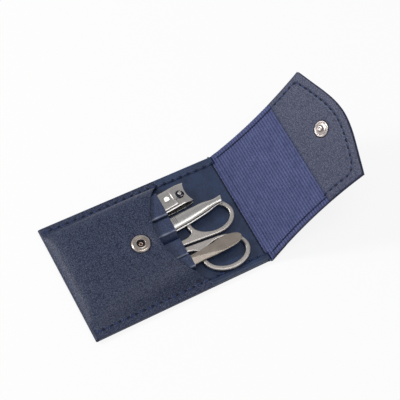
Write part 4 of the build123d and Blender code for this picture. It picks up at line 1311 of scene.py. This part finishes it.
# a near-black disc round the pin paints the shade inside the jaw's hole
RECESS = np.array(Matrix.Translation((0.0, PIN_REACH, -0.08))
                  @ Matrix.Rotation(math.radians(-6.0), 4, "X"))
lathe("clipper_pin_recess_shade", [(0.0, -0.25), (2.3, -0.25), (2.3, 0.1), (0.0, 0.12)],
      LEVER @ RECESS, HOLE_SHADE, "clipper_lever", (), 28)
# the pin's head stands over both plates and the lever
HEAD = (2 * CLIPPER_PLATE + 0.1 + PIN_REACH * math.sin(math.radians(CLIPPER_SPREAD))
        + LEVER_THICK + 0.35)
lathe("clipper_post", [(0.0, 0.02), (1.0, 0.02), (1.0, 2.0), (0.86, 2.1), (0.86, HEAD - 0.8),
                       (0.7, HEAD - 0.7), (0.7, HEAD - 0.4), (1.0, HEAD - 0.3),
                       (1.1, HEAD - 0.12), (0.95, HEAD + 0.08), (0.55, HEAD + 0.24),
                       (0.0, HEAD + 0.3)],
      LOWER, PLATE_STEEL, "clipper", ("clipper_pin",), 28, y=PIN_STATION)
lathe("clipper_tail_rivet", [(0.0, 0.0), (1.0, 0.0), (1.0, 2.1), (0.8, 2.2), (0.0, 2.25)],
      LOWER, PLATE_STEEL, "clipper", ("clipper_rivet",), 24, y=CLIPPER_PIVOT)

# ---- Tweezers ----
TWEEZERS_LENGTH, ARM, ARM_GAP, HEEL = 84.0, 0.9, 0.8, 9.8
TWEEZERS_X, TWEEZERS_END, TWEEZERS_SKEW, TWEEZERS_PITCH = -6.9, 98.4, 3.0, 3.0
TWEEZERS = laid(TWEEZERS_X, TWEEZERS_END, TWEEZERS_LENGTH, TWEEZERS_SKEW, TWEEZERS_PITCH)
ARM_STATIONS = (0.0, 0.4, 1.2, 2.6, 12.0, 38.0, 52.0, 62.0, 71.4, 76.0, 79.0, 81.5, 84.0)
ARM_RIGHT = (0.5, 1.5, 2.3, 2.8, 3.0, 3.45, 3.75, 3.5, 2.7, 2.05, 1.72, 1.85, 2.1)
ARM_LEFT = (0.5, 1.5, 2.3, 2.8, 3.0, 3.45, 3.75, 3.7, 3.3, 2.4, 1.75, 1.85, 2.1)
GROOVES = (53.4, 54.3, 55.2)


def smooth_values(at, stations, values, window=5):
    """Values between stations, without corners."""
    kernel = np.hanning(window + 2)[1:-1]
    padded = np.pad(np.interp(at, stations, values), window // 2, mode="edge")
    return np.convolve(padded, kernel / kernel.sum(), "valid")


def blade_loft(name, rows, left, right, top, bottom, matrix, material, body, replaced,
               slant=0.0, edge=0.16, across=17):
    """A closed long piece: each row has its own sides, and heights given across it.

    Its end is cut aslant by slant, and its long edges are eased by edge.
    """
    share = np.concatenate([[-1.0], np.linspace(-1, 1, across)[1:-1] * 0.985, [1.0]])
    ease = np.clip(1 - (1 - np.abs(share)) / 0.02, 0, 1) * edge
    grid = []
    for y, x_left, x_right in zip(rows, left, right):
        x = (x_right - x_left) / 2 + share * (x_right + x_left) / 2
        ahead = -slant * max(0.0, (y - rows[-1] + 6.0) / 6.0) * (share + 1) / 2
        upper = np.stack([x, y + ahead, np.array([top(u, y) for u in share]) - ease], 1)
        lower = np.stack([x, y + ahead, np.array([bottom(u, y) for u in share]) + ease], 1)
        grid.append(np.concatenate([upper, lower[::-1]]))
    count = len(grid[0])
    faces = []
    for start in range(0, (len(grid) - 1) * count, count):
        for c in range(count):
            d = (c + 1) % count
            faces.append((start + c, start + count + c, start + count + d, start + d))
    for start in (0, (len(grid) - 1) * count):
        for c in range(count // 2 - 1):
            faces.append((start + c, start + c + 1, start + count - 2 - c, start + count - 1 - c))
    made = piece(name, placed(np.concatenate(grid), matrix), faces, material)
    bm = bmesh.new()
    bm.from_mesh(made.data)
    bmesh.ops.recalc_face_normals(bm, faces=bm.faces)
    bm.to_mesh(made.data)
    bm.free()
    return on_body(grained_along(weighted(made), matrix), body, replaced)


arm_rows = np.unique(np.concatenate([np.linspace(0, 3, 8),
                                     np.linspace(3, TWEEZERS_LENGTH, 82)]))
arm_right = smooth_values(arm_rows, ARM_STATIONS, ARM_RIGHT)
arm_left = smooth_values(arm_rows, ARM_STATIONS, ARM_LEFT)


def arm_rise(y):
    """Height of the upper arm's underside over the heel weld."""
    return ARM + ARM_GAP * max(0.0, min(1.0, (y - HEEL) / (TWEEZERS_LENGTH * 0.35 - HEEL)))


def arm_top(u, y):
    """The upper arm is crowned across."""
    crowned = min(1.0, max(0.0, (y - HEEL) / 18.0)) * (1.0 - 0.5 * max(0.0, (y - 74.0) / 10.0))
    return arm_rise(y) + ARM + crowned * (0.8 * (1 - abs(u) ** 3.0) - 0.66)


def lower_arm_top(u, y):
    """The lower arm keeps its thickness at the heel weld and is thinner beyond it."""
    return 2 * ARM - 0.02 if y < HEEL + 1 else ARM - 0.35 * min(1.0, (y - HEEL - 1) / 8.0)


upper_rows = arm_rows >= HEEL - 0.1
blade_loft("tweezers_upper_blade", arm_rows[upper_rows], arm_left[upper_rows],
           arm_right[upper_rows] - 0.1, arm_top, lambda u, y: arm_rise(y) + 0.02, TWEEZERS,
           ALONG_STEEL, "tweezers_top", ("tweezers_upper_arm",), 1.3, edge=0.05)
# the lower arm shows beside the upper one, so it stands out a little on that side
beside = 0.65 * np.clip((arm_rows - HEEL - 4) / 12.0, 0, 1) * np.clip((82.0 - arm_rows) / 8.0, 0, 1)
blade_loft("tweezers_lower_blade", arm_rows, arm_left, arm_right + beside,
           lower_arm_top, lambda u, y: 0.0, TWEEZERS,
           ALONG_STEEL, "tweezers", ("tweezers_lower_arm",), 1.3)


def grip_groove_shade():
    """Grooves across the upper arm, drawn as thin dark strips: painted shade in place of their
    depth.
    """
    points, faces = [], []
    for station in GROOVES:
        half = np.interp(station, arm_rows, arm_left)
        start = len(points)
        for u in np.linspace(-0.82, 0.3, 15):
            z = arm_top(u, station) + 0.02
            points += [(u * half, station - 0.13, z), (u * half, station + 0.13, z)]
        faces += [(i, i + 2, i + 3, i + 1) for i in range(start, len(points) - 2, 2)]
    made = piece("tweezers_grip_groove_shade", placed(points, TWEEZERS), faces, SHADED_SIDE_STEEL)
    on_body(grained_along(made, TWEEZERS), "tweezers_top")


grip_groove_shade()

# ---- Scissors ----
PIVOT_X, PIVOT_STATION, SCISSORS_SKEW = 7.2, 42.0, -4.7
SCISSORS = tool_frame(PIVOT_X, END_Y + PIVOT_STATION, FLOOR_Z + LEATHER + 0.2, SCISSORS_SKEW)
SLIT, RING_WIDTH, RING_LENGTH, STROKE, RING_MIDDLE = 0.7, 21.3, 27.8, 2.6, 44.5
SCISSORS_THICK, SHANK, BOSS, HANDLE_START = 2.2, 3.7, 4.2, 4.35
RING_X = SLIT + RING_WIDTH / 2


def scissors_half_outline():
    """Right half from above, anticlockwise: blade, boss, shank, web and finger ring."""
    ring = [(RING_X + RING_WIDTH / 2 * math.cos(a), RING_MIDDLE + RING_LENGTH / 2 * math.sin(a))
            for a in np.radians(np.linspace(-112, 180, 84))]
    web = fillets([(SHANK, 18.0), (SHANK + 0.1, 25.0), (SHANK + 0.7, 28.6),
                   (SHANK + 2.4, 31.2), ring[0]], 2.6, 7)
    right_boss, left_boss = (
        [(BOSS * math.cos(a), BOSS * math.sin(a)) for a in np.radians(np.linspace(*arc))]
        for arc in ((-70, 24, 14), (84, 214, 18)))
    blade = [(-3.6, -8.0), (-2.6, -19.8), (-0.3, -33.0), (0.2, -33.0), (0.9, -19.8), (1.3, -6.0)]
    return divided(np.array(
        right_boss + [(SHANK, 5.0)] + web.tolist()[:-1] + ring
        + [(SLIT, 36.0), (SLIT, 27.8), (0.46, 4.6)] + left_boss + blade), 1.4)


def ring_hole(thinner):
    """Hole of a finger ring; the stroke beside the slit may be thinner by an amount."""
    return np.array([
        (RING_X + (RING_WIDTH / 2 - STROKE) * math.cos(a)
         - thinner * max(0.0, -math.cos(a)) ** 0.35,
         RING_MIDDLE + (RING_LENGTH / 2 - STROKE) * math.sin(a))
        for a in np.radians(np.linspace(180, -180, 80, endpoint=False))])


def halved(upper_half):
    """Blade and boss take one half of the thickness; the handle keeps all of it."""
    def form(x, y, z):
        """Where a point of the whole forging goes."""
        if y < HANDLE_START:
            z = z / 2 + (SCISSORS_THICK / 2 if upper_half else 0.0)
        return x, y, z
    return form


def rounded_stroke(loop):
    """How far the forging's rounding reaches in: far round the rings, little on the blades."""
    return 0.22 + 0.73 * np.clip((loop[:, 1] - 8.0) / 6.0, 0, 1)


for name, flip, body, replaced in (
    ("scissors_right_blade", False, "scissors_right", ("scissors_right_half",)),
    ("scissors_left_blade", True, "scissors", ("scissors_left_half",)),
):
    loops = [scissors_half_outline(), ring_hole(0.0 if flip else 0.9),
             round_hole((0, 0), 1.55, 24)]
    if flip:
        loops = [(loop * (-1, 1))[::-1] for loop in loops]
    steel_plate(name, loops, SCISSORS_THICK, rounded_stroke, SCISSORS,
                crossing(1, (HANDLE_START - 0.05, HANDLE_START + 0.05)), halved(not flip),
                (FORGED_STEEL, FORGED_STEEL), body, replaced)
lathe("scissors_screw", [(0.0, 0.02), (1.5, 0.02), (1.5, 2.25), (2.3, 2.25), (2.4, 2.4),
                         (2.1, 2.7), (0.0, 2.75)],
      SCISSORS, FORGED_STEEL, "scissors", ("scissors_rivet",), 32)

# ---- Cuticle pusher ----
PUSHER_LENGTH = 87.5
PUSHER_X, PUSHER_END, PUSHER_SKEW, PUSHER_PITCH = 17.9, 96.5, 2.6, 2.85
PUSHER = laid(PUSHER_X, PUSHER_END, PUSHER_LENGTH, PUSHER_SKEW, PUSHER_PITCH)
SHOULDER = PUSHER_LENGTH - 24.5
TIP_START, TIP_LENGTH, BLADE_HALF = SHOULDER + 14, 10.9, 4.05
pusher_rows = np.concatenate([
    np.linspace(0, TIP_START, 70),
    TIP_START + TIP_LENGTH * np.sin(np.linspace(0, math.pi / 2, 22)[1:])])


def pusher_side(widths, fullness):
    """Distance from the middle to one side; a fuller tip is blunter."""
    stations = (0, 2, 12, SHOULDER, SHOULDER + 5, SHOULDER + 9.5, TIP_START - 1, TIP_START)
    side = smooth_values(np.minimum(pusher_rows, TIP_START), stations,
                         (0.8, 1.3, 2.9, 2.9) + widths + (BLADE_HALF, BLADE_HALF), 7)
    tip = pusher_rows > TIP_START
    along = (pusher_rows[tip] - TIP_START) / TIP_LENGTH
    side[tip] = BLADE_HALF * np.sqrt(np.clip(1 - along ** fullness, 0.0004, 1))
    return side


pusher_left = pusher_side((3.1, 3.45), 2.3)
pusher_right = pusher_side((3.55, 3.85), 3.6)


def pusher_top(u, y):
    """A flat face is ground aslant over the round shank, and takes all of the tip."""
    ridge = -0.45 + 1.45 * (y - SHOULDER + 5.5) / 20.0
    half = np.interp(y, pusher_rows, pusher_right) / BLADE_HALF
    beside = max(0.0, u - max(-0.45, ridge)) / 1.3
    return 1.8 - 1.6 * half * beside ** 1.15 - 0.12 * min(0.0, u + 0.3) ** 2


def pusher_under(u, y):
    """The blade's rounded underside."""
    return pusher_top(u, y) - 0.3 - 0.45 * (1 - u * u)


blade_loft("pusher_blade", pusher_rows, pusher_left, pusher_right, pusher_top, pusher_under,
           PUSHER, PUSHER_STEEL, "pusher", ("cuticle_pusher",), edge=0.1, across=25)


# =====================================================================
# Snap fastener
# =====================================================================

SOCKET = FLAT.copy()
SOCKET[:3, 3] = (SOCKET_X, END_Y + SOCKET_STATION, SEAT_Z)
rim = [(4.0 + 1.75 * math.sin(a), -0.83 + 1.75 * math.cos(a))
       for a in np.radians(np.linspace(50, 4, 10))]
lathe("snap_socket_ring", [(2.3, -0.6), (2.6, -0.6), (2.6, -0.05), (5.3, -0.05), (5.4, 0.05)]
      + rim + [(3.75, 0.8), (3.1, 0.78), (2.9, 0.88), (2.6, 0.9), (2.4, 0.76), (2.3, 0.5)],
      SOCKET, NICKEL, "pouch", ("snap_socket",), 72)
# a near-black ring round the socket paints the shadow where the leather is pressed in
lathe("snap_socket_shadow_ring", [(5.0, -0.35), (5.75, -0.35), (5.7, 0.0), (5.0, 0.04)],
      SOCKET, HOLE_SHADE, "pouch", (), 48)
lathe("snap_spring_wire", [(1.98 + 0.15 * math.cos(a), -0.1 + 0.15 * math.sin(a))
                           for a in np.linspace(0, 2 * math.pi, 9)[:-1]],
      SOCKET, DULL_NICKEL, "pouch", ("snap_spring",), 48)
lathe("snap_eyelet_post", fillets([
    (0.0, -1.3), (3.9, -1.3), (4.0, -0.98), (1.0, -0.94), (0.95, -0.7), (1.2, -0.55),
    (1.38, -0.35), (1.2, -0.12), (0.85, -0.08), (0.55, -0.3), (0.45, -0.8), (0.0, -0.85)], 0.1, 3),
      SOCKET, WARM_NICKEL, "pouch", ("snap_eyelet",), 48)
# the socket's well and the eyelet's bore are lined in near-black: painted shade
lathe("snap_socket_well_shade", [(0.0, -0.96), (2.32, -0.96), (2.32, 0.6), (2.2, 0.5), (2.16, -0.9),
                           (0.0, -0.92)],
      SOCKET, HOLE_SHADE, "pouch", (), 40)
lathe("snap_eyelet_bore_shade", [(0.0, -0.7), (0.52, -0.7), (0.5, -0.4), (0.0, -0.42)],
      SOCKET, HOLE_SHADE, "pouch", (), 24)

STUD = FLAP.copy()
STUD[:3, 3] = placed([(STUD_X, STUD_PLACE, 0)], FLAP)[0]
lathe("snap_stud_post", fillets([
    (0.0, 0.02), (4.5, 0.02), (4.5, 0.3), (4.2, 0.5), (3.8, 0.5), (3.6, 0.3), (3.3, 0.28),
    (3.0, 0.45), (2.3, 0.55), (1.6, 0.75), (1.5, 1.2), (1.72, 1.6), (1.45, 2.05), (0.8, 2.1),
    (0.55, 1.85), (0.0, 1.8)], 0.12, 3),
      STUD, STUD_NICKEL, "flap", ("snap_stud",), 64)
# a near-black ring round the stud paints the shadow where the leather is pressed in
lathe("snap_stud_shadow_ring", [(4.3, 0.0), (5.05, 0.0), (5.0, 0.16), (4.3, 0.18)], STUD, HOLE_SHADE,
      "flap", (), 48)
lathe("snap_outer_cap", fillets([
    (0.0, -STACK - 0.7), (4.6, -STACK - 0.66), (5.6, -STACK - 0.42), (6.0, -STACK - 0.12),
    (6.0, -STACK), (0.9, -STACK), (0.9, 0.0), (0.0, 0.0)], 0.3, 3),
      STUD, NICKEL, "flap", ("snap_cap",), 72)


# =====================================================================
# Holder strip
# =====================================================================

HOLDER_BACK, HOLDER_WIDTH, HOLDER_HALF, HOLDER_LEATHER = 52.5, 14.0, 29.0, 0.5
# left wall, right wall and height of each loop's inside
LOOPS = ((-25.16, -11.1, 9.02), (-9.28, -0.44, 7.87), (4.06, 14.28, 5.5), (16.06, 23.1, 6.75))
VALLEY_X, VALLEY_HALF, VALLEY_Z = -10.2, 1.6, 6.7
SLOPE_X, SLOPE_HALF, SLOPE_Z, SLOPE = 1.9, 1.9, 7.9, 1.5


def holder_profile():
    """Outside of the strip across the wallet, and how creased each point is, which also sets where
    its highlight is painted.
    """
    t = HOLDER_LEATHER
    corners = [(-HOLDER_HALF, FLOOR_Z + t)]
    for left, right, top in LOOPS:
        corners += [(left - 0.2 - t, FLOOR_Z + t), (left - t, top + t),
                    (right + t, top + t), (right + 0.2 + t, FLOOR_Z + t)]
    line = fillets(corners + [(HOLDER_HALF, FLOOR_Z + t)], 1.0, 8)
    fine = []
    for a, b in zip(line, line[1:]):
        n = max(1, int(np.linalg.norm(b - a) / 0.5))
        fine += [a + (b - a) * i / n for i in range(n)]
    fine = np.array(fine + [line[-1]])
    crease_and_highlight = np.zeros(len(fine))
    for left, right, top in LOOPS:
        away = np.hypot(fine[:, 0] - right - t + 0.45, fine[:, 1] - top - t + 0.3)
        crease_and_highlight = np.maximum(crease_and_highlight, np.exp(-(away / 0.55) ** 2))
    return fine, crease_and_highlight


def make_holder():
    """The strip over the tools, a little slack between its edges, with a painted highlight on its
    creases.
    """
    profile, crease_and_highlight = holder_profile()
    across = np.concatenate([[0.0, 0.2], np.linspace(0.6, HOLDER_WIDTH - 0.6, 20),
                             [HOLDER_WIDTH - 0.2, HOLDER_WIDTH]])
    rows, crease_highlights = [], []
    for r in across:
        x, z = profile.T.copy()
        # the strip bridges the narrow valley between the first two loops
        bridged = np.maximum(z, VALLEY_Z + 0.12 * (x - VALLEY_X) ** 2)
        z = np.where(np.abs(x - VALLEY_X) < VALLEY_HALF, bridged, z)
        # and slants down beside the second
        slanted = np.maximum(z, SLOPE_Z - SLOPE * x)
        z = np.where(np.abs(x - SLOPE_X) < SLOPE_HALF, slanted, z)
        high = np.clip((z - FLOOR_Z - 1.0) / 3.0, 0, 1)
        z += 0.32 * crease_and_highlight
        slack = 0.075 * np.sin(math.pi * r / HOLDER_WIDTH) * high ** 2
        waves = soft_noise(np.stack([x, np.full(len(x), r), z], 1), 5.0, 11.0)
        z -= 0.12 * high * np.abs(waves) + slack
        rows.append(np.stack([x, np.full(len(x), END_Y + HOLDER_BACK + r), z], 1))
        crease_highlights.append(crease_and_highlight * (0.75 + 0.25 * math.sin(r * 0.9 + 1.0)))
    made = piece("holder_loops", np.concatenate(rows), grid_faces(len(rows), len(profile)),
                 BAND_FACE, BAND_EDGE)
    # the crease attribute paints the highlight in the band's material
    kept_at_points(made, "crease_and_highlight", np.concatenate(crease_highlights))
    return on_body(walled(made, HOLDER_LEATHER), "pouch", ("holder_strip",))


def sew_holder():
    """The seams that hold the strip down, in the middle between two loops and at its ends."""
    walls = [-HOLDER_HALF] + [x for loop in LOOPS for x in loop[:2]] + [HOLDER_HALF]
    near, far = END_Y + HOLDER_BACK + 1.2, END_Y + HOLDER_BACK + HOLDER_WIDTH - 0.8
    paths = [[((a + b) / 2, near), ((a + b) / 2, far)] for a, b in zip(walls[::2], walls[1::2])]
    threads = seam("holder_stitches", paths, FLAT, FLOOR_Z + HOLDER_LEATHER - 0.02, THREAD,
                   HOLDER_PITCH, HOLDER_STITCH)
    on_body(threads, "pouch", ("holder_seam_threads",))


holder = make_holder()
sew_holder()


# =====================================================================
# Floor, light and camera
# =====================================================================

def studio_floor():
    """A pale seamless floor that still takes the object's soft shadow."""
    material = bpy.data.materials.new("white_studio_sheet")
    material.use_nodes = True
    tree = material.node_tree
    tree.nodes.clear()
    paper = node(tree, "ShaderNodeBsdfDiffuse", {"Color": (0.93, 0.93, 0.93, 1)})
    glow = node(tree, "ShaderNodeEmission", {"Color": (1, 1, 1, 1), "Strength": 1.0})
    path = node(tree, "ShaderNodeLightPath")
    seen = node(tree, "ShaderNodeMath", {0: path.outputs["Is Camera Ray"],
                                         1: path.outputs["Is Glossy Ray"]}, operation="MAXIMUM")
    through = node(tree, "ShaderNodeMath", {0: seen.outputs[0],
                                            1: path.outputs["Is Transmission Ray"]},
                   operation="MAXIMUM")
    share = node(tree, "ShaderNodeMath", {0: through.outputs[0], 1: 0.85}, operation="MULTIPLY")
    mixed = node(tree, "ShaderNodeMixShader", {0: share.outputs[0], 1: paper.outputs[0],
                                               2: glow.outputs[0]})
    node(tree, "ShaderNodeOutputMaterial", {"Surface": mixed.outputs[0]})
    half, z = 6000, -0.02
    corners = [(-half, -half, z), (half, -half, z), (half, half, z), (-half, half, z)]
    piece("studio_floor", corners, [(0, 1, 2, 3)], material)


def studio_air():
    """White air for the camera; reflections see a greyer ceiling that gives steel its form."""
    world = bpy.data.worlds.new("studio_air")
    bpy.context.scene.world = world
    world.use_nodes = True
    air = world.node_tree
    air.nodes.clear()
    ray = node(air, "ShaderNodeLightPath")
    heading = node(air, "ShaderNodeTexCoord")
    height = node(air, "ShaderNodeSeparateXYZ", {0: heading.outputs["Generated"]})
    ceiling = node(air, "ShaderNodeMapRange", {0: height.outputs["Z"], 1: 0.3, 2: 0.85, 3: 1.0,
                                               4: 0.5})
    lit = node(air, "ShaderNodeMix", {0: ray.outputs["Is Glossy Ray"], 2: 0.36,
                                      3: ceiling.outputs[0]})
    seen = node(air, "ShaderNodeMath", {0: ray.outputs["Is Camera Ray"],
                                        1: ray.outputs["Is Transmission Ray"]},
                operation="MAXIMUM")
    level = node(air, "ShaderNodeMath", {0: lit.outputs[0], 1: seen.outputs[0]},
                 operation="MAXIMUM")
    plain = node(air, "ShaderNodeBackground", {"Color": (1, 1, 1, 1),
                                               "Strength": level.outputs[0]})
    node(air, "ShaderNodeOutputWorld", {"Surface": plain.outputs[0]})


def softbox(name, where, target, size, power):
    """A square area lamp that faces a point, in metres."""
    lamp = bpy.data.lights.new(name, "AREA")
    lamp.shape, lamp.size, lamp.size_y = "RECTANGLE", size, size
    lamp.energy = power
    thing = bpy.data.objects.new(name, lamp)
    bpy.context.scene.collection.objects.link(thing)
    thing.location = where
    thing.rotation_mode = "QUATERNION"
    thing.rotation_quaternion = (Vector(target) - Vector(where)).to_track_quat("-Z", "Y")


def still_camera(azimuth, elevation, target, distance, lens):
    """The camera, from its heading and height in degrees, and its distance in metres."""
    a, e = math.radians(azimuth), math.radians(elevation)
    back = Vector((math.sin(a) * math.cos(e), -math.cos(a) * math.cos(e), math.sin(e)))
    data = bpy.data.cameras.new("still_camera")
    data.lens, data.sensor_width = lens, 36.0
    data.clip_start, data.clip_end = 0.05, 20.0
    camera = bpy.data.objects.new("still_camera", data)
    bpy.context.scene.collection.objects.link(camera)
    camera.rotation_mode = "QUATERNION"
    camera.location = Vector(target) + back * distance
    camera.rotation_quaternion = (-back).to_track_quat("-Z", "Y")
    bpy.context.scene.camera = camera


studio_floor()
studio_air()
softbox("overhead_softbox", (0.2, 0.15, 1.05), (0, 0.03, 0), 0.5, 3.2)
softbox("end_softbox", (-0.55, -0.78, 0.72), (0, 0, 0), 0.26, 7.4)
still_camera(62.983, 60.631, (-0.015297, 0.0357, 0.0), 0.998816, 162.0)
bpy.context.scene.view_settings.view_transform = "Standard"
